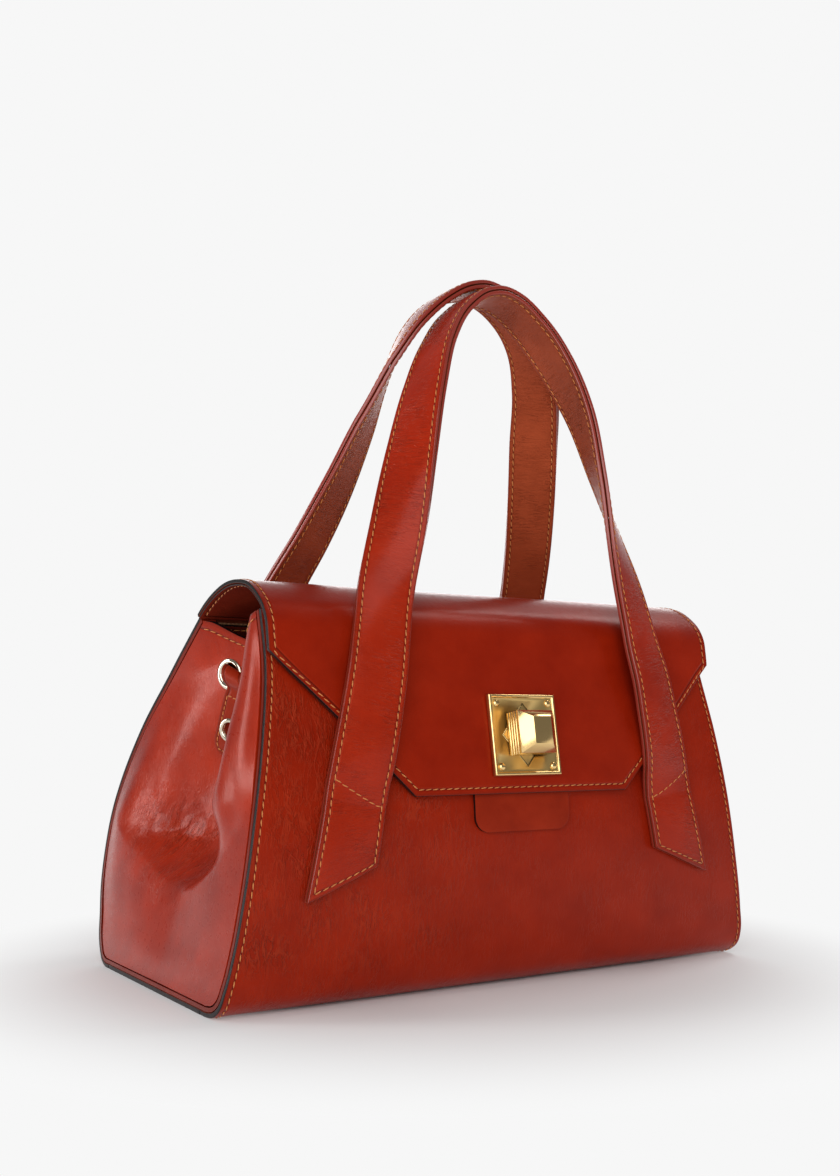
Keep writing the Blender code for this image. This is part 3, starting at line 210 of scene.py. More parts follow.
# Eyelets and cinch straps. A place runs from -1 at the front seam to 1 at the back seam
EYELET_HOLE = 5.2 * MM
EYELET_FLANGE = 8.5 * MM
EYELET_BARREL = 0.8 * MM
BEAD_RISE = 0.2 * MM
BEAD_FLATNESS = 0.62
EYELET_HEIGHT = 162.0 * MM
EYELET_BACK_PLACE = 0.385
EYELET_FRONT_PLACE = -0.29
TAB_BACK_PLACE = 0.236
TAB_FRONT_PLACE = -0.242
TAB_WIDTH = 16.0 * MM
TAB_THICKNESS = 2.2 * MM
TAB_BOTTOM = 120.0 * MM
TAB_SHOULDER = 153.5 * MM
TAB_EYELET_HEIGHT = 133.4 * MM
TAB_EYELET_HOLE = 4.0 * MM
TAB_EYELET_FLANGE = 6.4 * MM
TAB_STANDOFF = 3.2 * MM
NECK_INSET = 7.0 * MM
# Where a cinch strap folds over into its eyelet: out of the leather, up it, aside, and half the width
NECK_FOLD = ((4.6 * MM, -1.2 * MM, 8.9 * MM, 7.9 * MM), (5.0 * MM, 2.2 * MM, 6.0 * MM, 7.3 * MM),
             (3.0 * MM, 4.2 * MM, 4.0 * MM, 5.8 * MM), (0.2 * MM, 1.0 * MM, 0.6 * MM, 4.1 * MM),
             (-4.5 * MM, 0.5 * MM, 0.0 * MM, 3.9 * MM))

# The rounding of each sheet's rim, and the share of its thickness that a skived seam keeps
PANEL_RIM = 0.55 * MM
BASE_RIM = 0.4 * MM
SOFT_RIM = 0.5 * MM
THIN_RIM = 0.3 * MM
STRAP_RIM = 0.6 * MM
PATCH_RIM = 0.45 * MM
SKIVED = 0.08

# Sewing: what a saddler's thread of this weight measures
STITCH_PITCH = 4.1 * MM
STITCH_WIDTH = 0.62 * MM
STITCH_REACH = 0.43
STITCH_HEIGHT = 0.42
STITCH_RISE = 0.16
STITCH_SLANT = 0.13
TAB_STITCH_PITCH = 2.9 * MM
TAB_STITCH_WIDTH = 0.7 * MM
PANEL_SEAM = 3.0 * MM
FLAP_SEAM = 3.2 * MM
STRAP_SEAM = 2.7 * MM
GUSSET_SEAM = 3.6 * MM
CROSS_OUTER_RISE = 12.5 * MM
CROSS_INNER_DROP = 1.3 * MM
TAB_SEAM = 1.9 * MM

SIDES = (("left", -1.0), ("right", 1.0))

# Steps of the straps' grids
STRAP_STEPS = 150
STRAP_COLUMNS = 25
STRAP_END_ROWS = 26
CINCH_STEPS = 180

# Studio: brightness of the backdrop, the fill and the room that metal mirrors, the floor's fade into the
# backdrop, and the soft boxes' places, sizes and power
BACKDROP = 0.93
FLOOR_FADE = (0.13, 0.3)
LAMPS_AIM = (0.0, 0.0, 0.14)
FILL = 0.2
ROOM = 0.2
BACKDROP_DIRECTION = (0.50, 0.84, 0.22)
BACKDROP_EDGE = (0.6, 0.95)
SOFT_BOXES = (
    ("soft_box_left", (-1.4, 0.6, 0.35), (0.35, 0.9), 8.0),
    ("soft_box_front", (-0.95, -1.25, 0.55), (1.7, 1.2), 19.0),
    ("soft_box_back", (0.9, 1.4, 0.7), (1.4, 1.0), 9.0),
    ("soft_box_above", (0.8, -0.1, 1.3), (0.6, 0.4), 4.0))


# Lines and surfaces of the bag
def unit(vectors):
    """Vectors brought to a length of one."""
    return vectors / np.linalg.norm(vectors, axis=-1, keepdims=True)


def lengths_along(points):
    """Length along a line up to each of its points."""
    return np.concatenate(([0.0], np.cumsum(np.linalg.norm(np.diff(points, axis=0), axis=1))))


def values_at(spots, lengths, values):
    """Rows of values at these spots, between rows that lie at the given lengths."""
    return np.stack([np.interp(spots, lengths, column) for column in values.T], axis=-1)


def smooth_curve(points, steps):
    """Points on a smooth curve through the given ones, with steps of even length."""
    points = np.array(points, float)
    knots = lengths_along(points)
    slopes = np.gradient(points, knots, axis=0)
    fine = np.linspace(0.0, knots[-1], 24 * len(points))
    span = np.clip(np.searchsorted(knots, fine, side="right") - 1, 0, len(knots) - 2)
    width = (knots[span + 1] - knots[span])[:, None]
    u = (fine[:, None] - knots[span][:, None]) / width
    curve = ((2 * u**3 - 3 * u**2 + 1) * points[span] + (u**3 - 2 * u**2 + u) * width * slopes[span]
             + (3 * u**2 - 2 * u**3) * points[span + 1] + (u**3 - u**2) * width * slopes[span + 1])
    lengths = lengths_along(curve)
    return values_at(np.linspace(0.0, lengths[-1], steps + 1), lengths, curve)


class Section:
    """A smooth line in the bag's side view, measured by the length along it."""

    def __init__(self, points, outward):
        self.points = smooth_curve(points, 400)
        self.lengths = lengths_along(self.points)
        self.length = self.lengths[-1]
        tangents = unit(np.gradient(self.points, self.lengths, axis=0))
        self.normals = outward * np.stack([tangents[:, 1], -tangents[:, 0]], axis=1)

    def normal(self, length):
        """Directions out of the bag at these lengths."""
        y, z = (np.interp(length, self.lengths, column) for column in self.normals.T)
        return np.stack([np.zeros_like(y), y, z], axis=-1)

    def at(self, x, length, out=0.0):
        """Points at these widths and lengths, moved outwards."""
        y, z = (np.interp(length, self.lengths, column) for column in self.points.T)
        base = np.stack([np.broadcast_to(x, y.shape), y, z], axis=-1)
        return base + np.asarray(out)[..., None] * self.normal(length)

    def at_height(self, height, out=0.0):
        """Length at which the line, moved outwards, reaches this height."""
        return np.interp(height, self.points[:, 1] + out * self.normals[:, 1], self.lengths)

    def length_on_front(self, height):
        """Length at which the falling part of the line comes down to this height."""
        falling = slice(int(np.argmax(self.points[:, 1])), None)
        return float(np.interp(-height, -self.points[falling, 1], self.lengths[falling]))


front = Section([(-y * FRONT_DEPTH, z * FRONT_HEIGHT) for y, z in FRONT_PROFILE], -1.0)
back = Section([(y * BACK_DEPTH, z * BACK_HEIGHT) for y, z in BACK_PROFILE], 1.0)
flap = Section(
    [back.points[-1]] + [(y * FRONT_DEPTH, z * FRONT_HEIGHT) for y, z in FLAP_ARCH]
    + [front.at(0.0, front.at_height(z, FLAP_STANDOFF), FLAP_STANDOFF)[1:]
       for z in [share * FRONT_HEIGHT for share in FLAP_REACH] + [TONGUE_HEIGHT]], 1.0)
flap_corner = flap.length_on_front(FLAP_CORNER_HEIGHT)
width_line = smooth_curve([(z * FRONT_HEIGHT, w * BASE_HALF_WIDTH) for z, w in WIDTHS], 200)


def half_width(height):
    """Half the width of the front and back panels at this height."""
    return np.interp(height, width_line[:, 0], width_line[:, 1])


def ease(value):
    """Ease from 0 to 1 as the value goes from 0 to 1."""
    value = np.clip(value, 0.0, 1.0)
    return value * value * (3.0 - 2.0 * value)


places = np.linspace(-1.0, 1.0, 161)
shares_up = np.linspace(0.0, 1.0, 121)


def across_gusset(row):
    """A row of values from seam to seam, smoothed."""
    return np.interp(places, *smooth_curve(list(zip(FOLD_PLACES, row)), 320).T)


fold_rows = np.array([across_gusset(row) for row in FOLDS])
fold_table = np.array([np.interp(shares_up, *smooth_curve(list(zip(FOLD_HEIGHTS, column)), 60).T)
                       for column in fold_rows.T])
ledge_row = across_gusset(LEDGE)
top_row = across_gusset(GUSSET_TOP)


def ledge_line(place):
    """Height of the ledge, which rises towards both seams."""
    return LEDGE_HEIGHT + LEDGE_RISE * np.abs(place) ** 1.4


def fold_inset(place, height):
    """How far a gusset lies inside the panels' edges."""
    column = (place + 1.0) / 2.0 * (len(places) - 1)
    row = np.clip(height / FRONT_HEIGHT, 0.0, 1.0) * (len(shares_up) - 1)
    i = np.clip(column.astype(int), 0, len(places) - 2)
    j = np.clip(row.astype(int), 0, len(shares_up) - 2)
    a, b = column - i, row - j
    folded = ((1 - a) * (1 - b) * fold_table[i, j] + a * (1 - b) * fold_table[i + 1, j]
              + (1 - a) * b * fold_table[i, j + 1] + a * b * fold_table[i + 1, j + 1])
    line = ledge_line(place)
    flat = np.interp(place, places, ledge_row) * np.minimum(height / line, 1.0) ** 1.5
    over = (height - line) / LEDGE_BLEND
    over = np.clip((over + np.sqrt(over**2 + LEDGE_CREASE**2)) / 2.0, 0.0, 1.0)
    blend = 1.0 - (1.0 - over) ** 2.4
    return FOLD_DEPTH * (flat * (1.0 - blend) + folded * blend)


gusset_out = PANEL_THICKNESS + GAP + WELT_THICKNESS + SEAM_GAP


def gusset_height(place, rise):
    """Height of a point of the gusset, from its rise between the base and its top edge."""
    top = FRONT_HEIGHT - GUSSET_TOP_DROP * np.interp(place, places, top_row)
    return gusset_out + rise * (top - gusset_out)


def gusset_points(side, place, height):
    """Points on a gusset's outside: place is -1 at the front seam and 1 at the back seam."""
    place, height = np.broadcast_arrays(np.asarray(place, float), np.asarray(height, float))
    valley = BACK_DEPTH * np.interp(height / FRONT_HEIGHT, *zip(*VALLEY))
    front_seam = front.at(0.0, front.at_height(height, -gusset_out), -gusset_out)[..., 1]
    back_seam = back.at(0.0, back.at_height(height, -gusset_out), -gusset_out)[..., 1]
    depth = valley + np.abs(place) * (np.where(place < 0.0, front_seam, back_seam) - valley)
    return np.stack([side * (half_width(height) - fold_inset(place, height)), depth, height], axis=-1)


def frame_at(origin, z_axis, y_hint):
    """A frame at a point, with its Z axis given and its Y axis near the hint."""
    z_axis = Vector(z_axis).normalized()
    x_axis = Vector(y_hint).cross(z_axis).normalized()
    turn = Matrix((x_axis, z_axis.cross(x_axis), z_axis)).transposed().to_4x4()
    return Matrix.Translation(Vector(origin)) @ turn


def gusset_frame(side, place, height, out=0.0):
    """A frame on a gusset's outside, with Z facing out of the bag and Y up the leather."""
    step = 0.01
    rise = (height - gusset_out) / (gusset_height(place, 1.0) - gusset_out)
    center = gusset_points(side, place, height)
    across = (gusset_points(side, place + step, gusset_height(place + step, rise))
              - gusset_points(side, place - step, gusset_height(place - step, rise)))
    up = (gusset_points(side, place, gusset_height(place, rise + step))
          - gusset_points(side, place, gusset_height(place, rise - step)))
    normal = np.cross(across, up)
    normal *= np.sign(normal[0]) * side / np.linalg.norm(normal)
    return frame_at(center + out * normal, normal, up)


def tab_frame(side, place, height):
    """A frame on a tab's middle line, which hangs clear of the gusset."""
    return gusset_frame(side, place, height, TAB_STANDOFF)


def wobble(points, size, seed):
    """Smooth noise from -1 to 1 at each point, with features of the given size."""
    flat_points = points.reshape(-1, 3) / size + seed * 17.3
    values = np.array([noise.noise(Vector(p)) for p in flat_points])
    return values.reshape(points.shape[:-1])


# Colours and materials
# The dyed glaze gives straight-on reflections its own warm colour
GLAZE = (1.0, 0.26, 0.14, 1.0)

# Leather: the size of its pores, grain and cloudy dye, where its creases are rubbed pale and carry a painted
# highlight, and where it is sewn and burnished
PORES = 1.1 * MM
GRAIN = 3.5 * MM
CLOUDS = 35.0 * MM
CREASE_PATCHES = 14.0 * MM
PALE_WEAR_AND_HIGHLIGHT = "#b04a2c"
NEEDLE_LINE = "#4a0f06"
BURNISHED = "#5c1509"

# The size of brushed coats of paint, of handling marks on metal, of a thread's plies and of woven threads
COATS = 4.0 * MM
HANDLING_MARKS = 7.0 * MM
PLIES = 0.9 * MM
WOVEN_THREADS = 1.2 * MM


def hex_color(code):
    """An sRGB hex value as a linear colour."""
    parts = [int(code[i:i + 2], 16) / 255.0 for i in (1, 3, 5)]
    return (*(c / 12.92 if c <= 0.04045 else ((c + 0.055) / 1.055) ** 2.4 for c in parts), 1.0)


def new_material(name):
    """An empty material and its shader."""
    material = bpy.data.materials.new(name)
    material.use_nodes = True
    return material, material.node_tree.nodes["Principled BSDF"]


def feed(material, node, inputs):
    """Give each named input of a node its value or its link."""
    for key, value in inputs.items():
        if isinstance(value, bpy.types.NodeSocket):
            material.node_tree.links.new(value, node.inputs[key])
        else:
            node.inputs[key].default_value = value


def add_node(material, kind, inputs=None, **settings):
    """Add a node with its settings and its inputs."""
    node = material.node_tree.nodes.new(kind)
    for key, value in settings.items():
        setattr(node, key, value)
    feed(material, node, inputs or {})
    return node


def leather(name, light, deep, seam=None, wrinkles=None, roughness=0.36, coat=0.07, place="UV"):
    """Vegetable-tanned calf, glazed: fine pores, cloudy dye, darker edges and a needle line."""
    material, shader = new_material(name)
    flat = add_node(material, "ShaderNodeTexCoord").outputs[place]
    cloud = add_node(material, "ShaderNodeTexNoise", {
        "Vector": flat, "Scale": 1.0 / CLOUDS, "Detail": 4.0, "Roughness": 0.6})
    tone = add_node(material, "ShaderNodeMapRange", {
        "Value": cloud.outputs["Fac"], "From Min": 0.32, "From Max": 0.68})
    color = add_node(material, "ShaderNodeMix", {
        "Factor": tone.outputs["Result"], 6: hex_color(deep), 7: hex_color(light)},
        data_type="RGBA").outputs[2]

    pores = add_node(material, "ShaderNodeTexVoronoi", {
        "Vector": flat, "Scale": 1.0 / PORES, "Randomness": 1.0})
    grain = add_node(material, "ShaderNodeTexNoise", {
        "Vector": flat, "Scale": 1.0 / GRAIN, "Detail": 3.0, "Roughness": 0.6})
    height = add_node(material, "ShaderNodeMath", {
        0: pores.outputs["Distance"], 1: 0.03, 2: 0.0}, operation="MULTIPLY_ADD").outputs[0]
    height = add_node(material, "ShaderNodeMath", {
        0: grain.outputs["Fac"], 1: 0.06, 2: height}, operation="MULTIPLY_ADD").outputs[0]

    if wrinkles:
        # Broken, wavering lines: narrow bands round one level of a drawn-out noise, where the hide is
        # creased. They stand up as bumps and are paled, partly for rubbed wear and partly as a painted
        # highlight on the crease edges
        across, along, lean, depth, pale = wrinkles
        creased = add_node(material, "ShaderNodeAttribute", attribute_name="creased").outputs["Fac"]
        patches = add_node(material, "ShaderNodeTexNoise", {
            "Vector": flat, "Scale": 1.0 / CREASE_PATCHES, "Detail": 2.0})
        patches = add_node(material, "ShaderNodeMapRange", {
            "Value": patches.outputs["Fac"], "From Min": 0.3, "From Max": 0.6})
        lines = None
        for share in (1.0, 0.62):
            drawn = add_node(material, "ShaderNodeMapping", {
                "Vector": flat, "Location": (9.0 * share, 0.0, 0.0), "Rotation": (0.0, 0.0, lean),
                "Scale": (1.0 / (across * share), 1.0 / (along * share), 1.0)})
            wave = add_node(material, "ShaderNodeTexNoise", {
                "Vector": drawn.outputs[0], "Scale": 1.0, "Detail": 2.0, "Roughness": 0.5, "Distortion": 0.9})
            off = add_node(material, "ShaderNodeMath", {0: wave.outputs["Fac"], 1: 0.5}, operation="SUBTRACT")
            off = add_node(material, "ShaderNodeMath", {0: off.outputs[0]}, operation="ABSOLUTE")
            line = add_node(material, "ShaderNodeMapRange", {
                "Value": off.outputs[0], "From Min": 0.0, "From Max": 0.055, "To Min": 1.0, "To Max": 0.0},
                interpolation_type="SMOOTHSTEP").outputs["Result"]
            lines = line if lines is None else add_node(
                material, "ShaderNodeMath", {0: lines, 1: line}, operation="MAXIMUM").outputs[0]
        lines = add_node(material, "ShaderNodeMath", {0: lines, 1: creased}, operation="MULTIPLY")
        lines = add_node(material, "ShaderNodeMath", {
            0: lines.outputs[0], 1: patches.outputs["Result"]}, operation="MULTIPLY").outputs[0]
        height = add_node(material, "ShaderNodeMath", {
            0: lines, 1: depth, 2: height}, operation="MULTIPLY_ADD").outputs[0]
        # Paler along the crease lines: rubbed wear, and a painted highlight standing in for glints on the
        # crease edges
        pale_and_highlight = add_node(material, "ShaderNodeMath", {0: lines, 1: pale}, operation="MULTIPLY")
        color = add_node(material, "ShaderNodeMix", {
            "Factor": pale_and_highlight.outputs[0], 6: color, 7: hex_color(PALE_WEAR_AND_HIGHLIGHT)}, data_type="RGBA").outputs[2]

    edge = add_node(material, "ShaderNodeAttribute", attribute_name="edge").outputs["Fac"]
    if seam:
        # The thread draws the leather down along the needle line
        away = add_node(material, "ShaderNodeMath", {0: edge, 1: seam}, operation="SUBTRACT")
        away = add_node(material, "ShaderNodeMath", {0: away.outputs[0]}, operation="ABSOLUTE")
        dip = add_node(material, "ShaderNodeMapRange", {
            "Value": away.outputs[0], "From Min": 0.0, "From Max": 1.3 * MM, "To Min": 1.0, "To Max": 0.0},
            interpolation_type="SMOOTHSTEP")
        needle = add_node(material, "ShaderNodeMapRange", {
            "Value": away.outputs[0], "From Min": 0.15 * MM, "From Max": 0.6 * MM,
            "To Min": 0.75, "To Max": 0.0})
        height = add_node(material, "ShaderNodeMath", {
            0: dip.outputs["Result"], 1: -0.3, 2: height}, operation="MULTIPLY_ADD").outputs[0]
        burnish = add_node(material, "ShaderNodeMapRange", {
            "Value": edge, "From Min": 0.2 * MM, "From Max": 1.6 * MM, "To Min": 0.55, "To Max": 0.0})
        for share, code in ((needle, NEEDLE_LINE), (burnish, BURNISHED)):
            color = add_node(material, "ShaderNodeMix", {
                "Factor": share.outputs["Result"], 6: color, 7: hex_color(code)},
                data_type="RGBA").outputs[2]

    bump = add_node(material, "ShaderNodeBump", {"Height": height, "Strength": 1.0, "Distance": MM})
    shine = add_node(material, "ShaderNodeMapRange", {
        "Value": grain.outputs["Fac"], "From Min": 0.3, "From Max": 0.7,
        "To Min": roughness - 0.05, "To Max": roughness + 0.06})
    feed(material, shader, {
        "Base Color": color, "Roughness": shine.outputs["Result"], "Normal": bump.outputs["Normal"],
        "Coat Weight": coat, "Coat Roughness": 0.16, "IOR": 1.36, "Specular Tint": GLAZE})
    return material


def painted(name, code, roughness, coat, shine=0.5):
    """Paint or patina laid on in coats: smooth and faintly uneven."""
    material, shader = new_material(name)
    spot = add_node(material, "ShaderNodeTexCoord").outputs["Object"]
    coats = add_node(material, "ShaderNodeTexNoise", {"Vector": spot, "Scale": 1.0 / COATS, "Detail": 2.0})
    bump = add_node(material, "ShaderNodeBump", {
        "Height": coats.outputs["Fac"], "Strength": 0.5, "Distance": 0.3 * MM})
    feed(material, shader, {
        "Base Color": hex_color(code), "Roughness": roughness, "Normal": bump.outputs["Normal"],
        "Specular IOR Level": shine, "Coat Weight": coat, "Coat Roughness": 0.2})
    return material


def polished_metal(name, code, roughness, smear):
    """Plated zinc, polished and lacquered: clear reflections with faint handling marks."""
    material, shader = new_material(name)
    spot = add_node(material, "ShaderNodeTexCoord").outputs["Object"]
    marks = add_node(material, "ShaderNodeTexNoise", {
        "Vector": spot, "Scale": 1.0 / HANDLING_MARKS, "Detail": 5.0, "Roughness": 0.7})
    shine = add_node(material, "ShaderNodeMapRange", {
        "Value": marks.outputs["Fac"], "From Min": 0.35, "From Max": 0.75,
        "To Min": roughness, "To Max": roughness + smear})
    feed(material, shader, {
        "Base Color": hex_color(code), "Roughness": shine.outputs["Result"], "Metallic": 1.0})
    return material


def waxed_thread(name):
    """Waxed linen thread: two plies twisted together, golden tan."""
    material, shader = new_material(name)
    spot = add_node(material, "ShaderNodeTexCoord").outputs["Object"]
    plies = add_node(material, "ShaderNodeTexNoise", {"Vector": spot, "Scale": 1.0 / PLIES, "Detail": 1.0})
    color = add_node(material, "ShaderNodeMix", {
        "Factor": plies.outputs["Fac"], 6: hex_color("#a9541a"), 7: hex_color("#dc8f45")}, data_type="RGBA")
    bump = add_node(material, "ShaderNodeBump", {
        "Height": plies.outputs["Fac"], "Strength": 0.6, "Distance": 0.3 * MM})
    feed(material, shader, {
        "Base Color": color.outputs[2], "Roughness": 0.6, "Sheen Weight": 0.2,
        "Normal": bump.outputs["Normal"]})
    return material


def woven_lining(name):
    """Plain-woven cotton, a thread every half millimetre, drawn coarser so that it shows."""
    material, shader = new_material(name)
    spot = add_node(material, "ShaderNodeTexCoord").outputs["Object"]
    warp, weft = (
        add_node(material, "ShaderNodeTexWave", {
            "Vector": spot, "Scale": 1.0 / WOVEN_THREADS / 6.28, "Distortion": 0.4}, bands_direction=way)
        for way in "XZ")
    cloth = add_node(material, "ShaderNodeMath", {
        0: warp.outputs["Fac"], 1: weft.outputs["Fac"]}, operation="MAXIMUM")
    color = add_node(material, "ShaderNodeMix", {
        "Factor": cloth.outputs[0], 6: hex_color("#6a4428"), 7: hex_color("#8a6040")}, data_type="RGBA")
    bump = add_node(material, "ShaderNodeBump", {
        "Height": cloth.outputs[0], "Strength": 0.6, "Distance": 0.4 * MM})
    feed(material, shader, {
        "Base Color": color.outputs[2], "Roughness": 0.85, "Normal": bump.outputs["Normal"]})
    return material


# Wrinkles: how wide and long their noise is, its lean, how high they stand and how pale they are painted, for
# rubbed wear and a painted highlight on their edges
FRONT_WRINKLES = (4.2 * MM, 14.0 * MM, 0.14, 0.36, 0.2)
GUSSET_WRINKLES = (5.0 * MM, 16.0 * MM, 0.6, 0.4, 0.14)
STRAP_WRINKLES = (18.0 * MM, 3.0 * MM, 0.05, 0.36, 0.16)
grained_calf = leather("grained_calf_front", "#942008", "#821805", PANEL_SEAM, FRONT_WRINKLES)
panel_calf = leather("smooth_calf_back", "#942008", "#821805", PANEL_SEAM, FRONT_WRINKLES)
flap_calf = leather("smooth_calf_flap", "#942009", "#831805", FLAP_SEAM, roughness=0.33)
gusset_calf = leather(
    "soft_calf_gusset", "#a2280e", "#861b07", GUSSET_SEAM, GUSSET_WRINKLES, roughness=0.3, coat=0.14)
strap_calf = leather(
    "strap_calf", "#a0240a", "#8b1b06", STRAP_SEAM, STRAP_WRINKLES, roughness=0.32, coat=0.2)
patch_calf = leather("smooth_calf_patch", "#962810", "#7e1c08")
tab_calf = leather("tab_calf", "#962810", "#7e1c08", TAB_SEAM)
strap_back_calf = leather(
    "strap_lining_calf", "#a3492b", "#8a3a20", STRAP_SEAM, STRAP_WRINKLES, roughness=0.5, coat=0.0)
inner_calf = leather("facing_calf", "#7c2818", "#641c0f", PANEL_SEAM, roughness=0.5, coat=0.0)
flesh_side = leather("flesh_side", "#6a2c1a", "#562011", roughness=0.85, coat=0.0)
base_calf = leather("base_calf", "#8c2410", "#761a08")
edge_paint = painted("edge_paint", "#0f090b", 0.36, 0.06, 0.25)
welt_calf = leather("welt_calf", "#7c2010", "#661708", place="Object")
strap_edge = painted("strap_edge_paint", "#8a2a1c", 0.3, 0.4)
gold = polished_metal("gold_plate", "#edc98a", 0.13, 0.08)
satin_gold = polished_metal("satin_gold_plate", "#d9b877", 0.34, 0.06)
patina = painted("dark_patina", "#3a2410", 0.5, 0.0)
nickel = polished_metal("pale_nickel", "#d9ccb8", 0.08, 0.1)
thread = waxed_thread("waxed_thread")
cotton = woven_lining("cotton_lining")
fibre_board = painted("fibre_board", "#6f6046", 0.9, 0.0)


# Pieces
def settle(piece, name, materials, body, slot, *nodes):
    """Name a finished piece, dress it, hang it on its body and let it stand for its nodes."""
    piece.name = name
    piece.data.name = name
    for place, material in enumerate(materials):
        if place < len(piece.data.materials):
            piece.data.materials[place] = material
        else:
            piece.data.materials.append(material)
    if body:
        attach(piece, body)
    if nodes:
        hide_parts(*nodes)
    return piece


def new_shape(primitive, **settings):
    """A primitive, alone in the selection and ready to be shaped."""
    bpy.ops.object.select_all(action="DESELECT")
    primitive(**settings)
    return bpy.context.object


def at_size(center, size):
    """The transform that brings a shape to its size and place."""
    return Matrix.Translation(center) @ Matrix.Diagonal((*size, 1.0))


def block(size, center, place=Matrix()):
    """A block of this size in a frame, to be shaped or to cut with."""
    piece = new_shape(bpy.ops.mesh.primitive_cube_add, size=1.0)
    piece.data.transform(place @ at_size(center, size))
    return piece


def join(parts):
    """Join parts into the first one."""
    bpy.ops.object.select_all(action="DESELECT")
    for part in parts:
        part.select_set(True)
    bpy.context.view_layer.objects.active = parts[0]
    bpy.ops.object.join()
    return bpy.context.object


def finish_modifiers(piece):
    """Apply every modifier of a piece, in order."""
    bpy.ops.object.select_all(action="DESELECT")
    piece.select_set(True)
    bpy.context.view_layer.objects.active = piece
    for modifier in list(piece.modifiers):
        bpy.ops.object.modifier_apply(modifier=modifier.name)


def laid_sheet(points, flat, marks, thickness, rim, facing, even=True):
    """A sheet laid on a grid of points, with its wall on the inner side and a rounded rim.

    points has a row for each line across the sheet, flat holds the leather's own two
    coordinates there, marks holds values that its material reads and may hold its wall's
    share of the thickness, and facing is the way that its outer side looks.
    """
    rows, columns = points.shape[:2]
    marks = {key: np.broadcast_to(values, (rows, columns)) for key, values in marks.items()}
    natural = np.cross(np.gradient(points, axis=1), np.gradient(points, axis=0))
    if (natural * facing).sum() < 0.0:
        points = points[:, ::-1]
        flat = flat[:, ::-1]
        marks = {key: values[:, ::-1] for key, values in marks.items()}
    sheet = new_shape(
        bpy.ops.mesh.primitive_grid_add, x_subdivisions=columns - 1, y_subdivisions=rows - 1, size=2.0)
    mesh = sheet.data
    place = np.empty(len(mesh.vertices) * 3)
    mesh.vertices.foreach_get("co", place)
    place = place.reshape(-1, 3)
    i = np.rint((place[:, 1] + 1.0) / 2.0 * (rows - 1)).astype(int)
    j = np.rint((place[:, 0] + 1.0) / 2.0 * (columns - 1)).astype(int)
    mesh.vertices.foreach_set("co", points[i, j].ravel())
    corner = np.empty(len(mesh.loops), int)
    mesh.loops.foreach_get("vertex_index", corner)
    mesh.uv_layers[0].data.foreach_set("uv", flat[i, j][corner].ravel())
    for key, values in marks.items():
        mark = mesh.attributes.new(key, "FLOAT", "POINT")
        mark.data.foreach_set("value", np.ascontiguousarray(values[i, j], np.float32))
    mesh.update()
    for _ in ("outer", "inner", "rim"):
        mesh.materials.append(None)
    wall = sheet.modifiers.new("wall", "SOLIDIFY")
    wall.thickness = thickness
    wall.offset = -1.0
    wall.use_even_offset = even
    wall.material_offset = 1
    wall.material_offset_rim = 2
    if "wall" in marks:
        group = sheet.vertex_groups.new(name="wall")
        for index, weight in enumerate(marks["wall"][i, j]):
            group.add([index], float(weight), "REPLACE")
        wall.vertex_group = group.name
        wall.thickness_vertex_group = SKIVED
    if rim:
        rounded = sheet.modifiers.new("rim", "BEVEL")
        rounded.width = rim
        rounded.segments = 3
        rounded.limit_method = "ANGLE"
        rounded.angle_limit = math.radians(50.0)
        rounded.use_clamp_overlap = True
    finish_modifiers(sheet)
    bpy.ops.object.shade_smooth()
    return sheet


def cut_away(piece, cutter):
    """Take a cutter's shape out of a piece, and remove the cutter."""
    notch = piece.modifiers.new("cut", "BOOLEAN")
    notch.operation = "DIFFERENCE"
    notch.solver = "EXACT"
    notch.object = cutter
    finish_modifiers(piece)
    bpy.data.objects.remove(cutter)


def drill(place, radius, reach):
    """A round cutter along a frame's Z axis."""
    cutter = new_shape(bpy.ops.mesh.primitive_cylinder_add, vertices=40, radius=radius, depth=2.0 * reach)
    cutter.data.transform(place)
    return cutter


def edge_spread(count, close=0.35):
    """Places from -1 to 1 across a sheet, closer together towards its edges."""
    even = np.linspace(-1.0, 1.0, count)
    return even * (1.0 - close) + close * np.sin(even * math.pi / 2.0)


# Sewing
one_stitch = new_shape(bpy.ops.mesh.primitive_uv_sphere_add, segments=8, ring_count=5, radius=1.0)
stitch_points = np.array([v.co[:] for v in one_stitch.data.vertices])
stitch_faces = [list(p.vertices) for p in one_stitch.data.polygons]
bpy.data.objects.remove(one_stitch)


def sew(name, runs, body, slot="leather_smooth", pitch=STITCH_PITCH, width=STITCH_WIDTH):
    """Stitches along runs of points, each run with the direction that the leather faces in."""
    corners = []
    faces = []
    for points, normals in runs:
        lengths = lengths_along(points)
        count = max(1, int(round(lengths[-1] / pitch)))
        holes = np.linspace(0.0, lengths[-1], count + 1)
        centers = (holes[:-1] + holes[1:]) / 2.0
        middle = values_at(centers, lengths, points)
        facing = unit(values_at(centers, lengths, normals))
        ahead = np.diff(values_at(holes, lengths, points), axis=0)
        reach = np.linalg.norm(ahead, axis=1)
        ahead = unit(ahead)
        slant = unit(ahead + STITCH_SLANT * np.cross(facing, ahead))
        beside = np.cross(facing, slant)
        for k in range(count):
            first = len(corners) * len(stitch_points)
            shape = stitch_points * (reach[k] * STITCH_REACH, width / 2.0, width * STITCH_HEIGHT)
            shape[:, 2] += width * STITCH_RISE
            corners.append(middle[k] + shape[:, :1] * slant[k] + shape[:, 1:2] * beside[k]
                           + shape[:, 2:] * facing[k])
            faces.extend([first + v for v in face] for face in stitch_faces)
    mesh = bpy.data.meshes.new(name)
    mesh.from_pydata(np.concatenate(corners).tolist(), [], faces)
    mesh.shade_smooth()
    piece = bpy.data.objects.new(name, mesh)
    bpy.context.scene.collection.objects.link(piece)
    return settle(piece, name, [thread], body, slot)


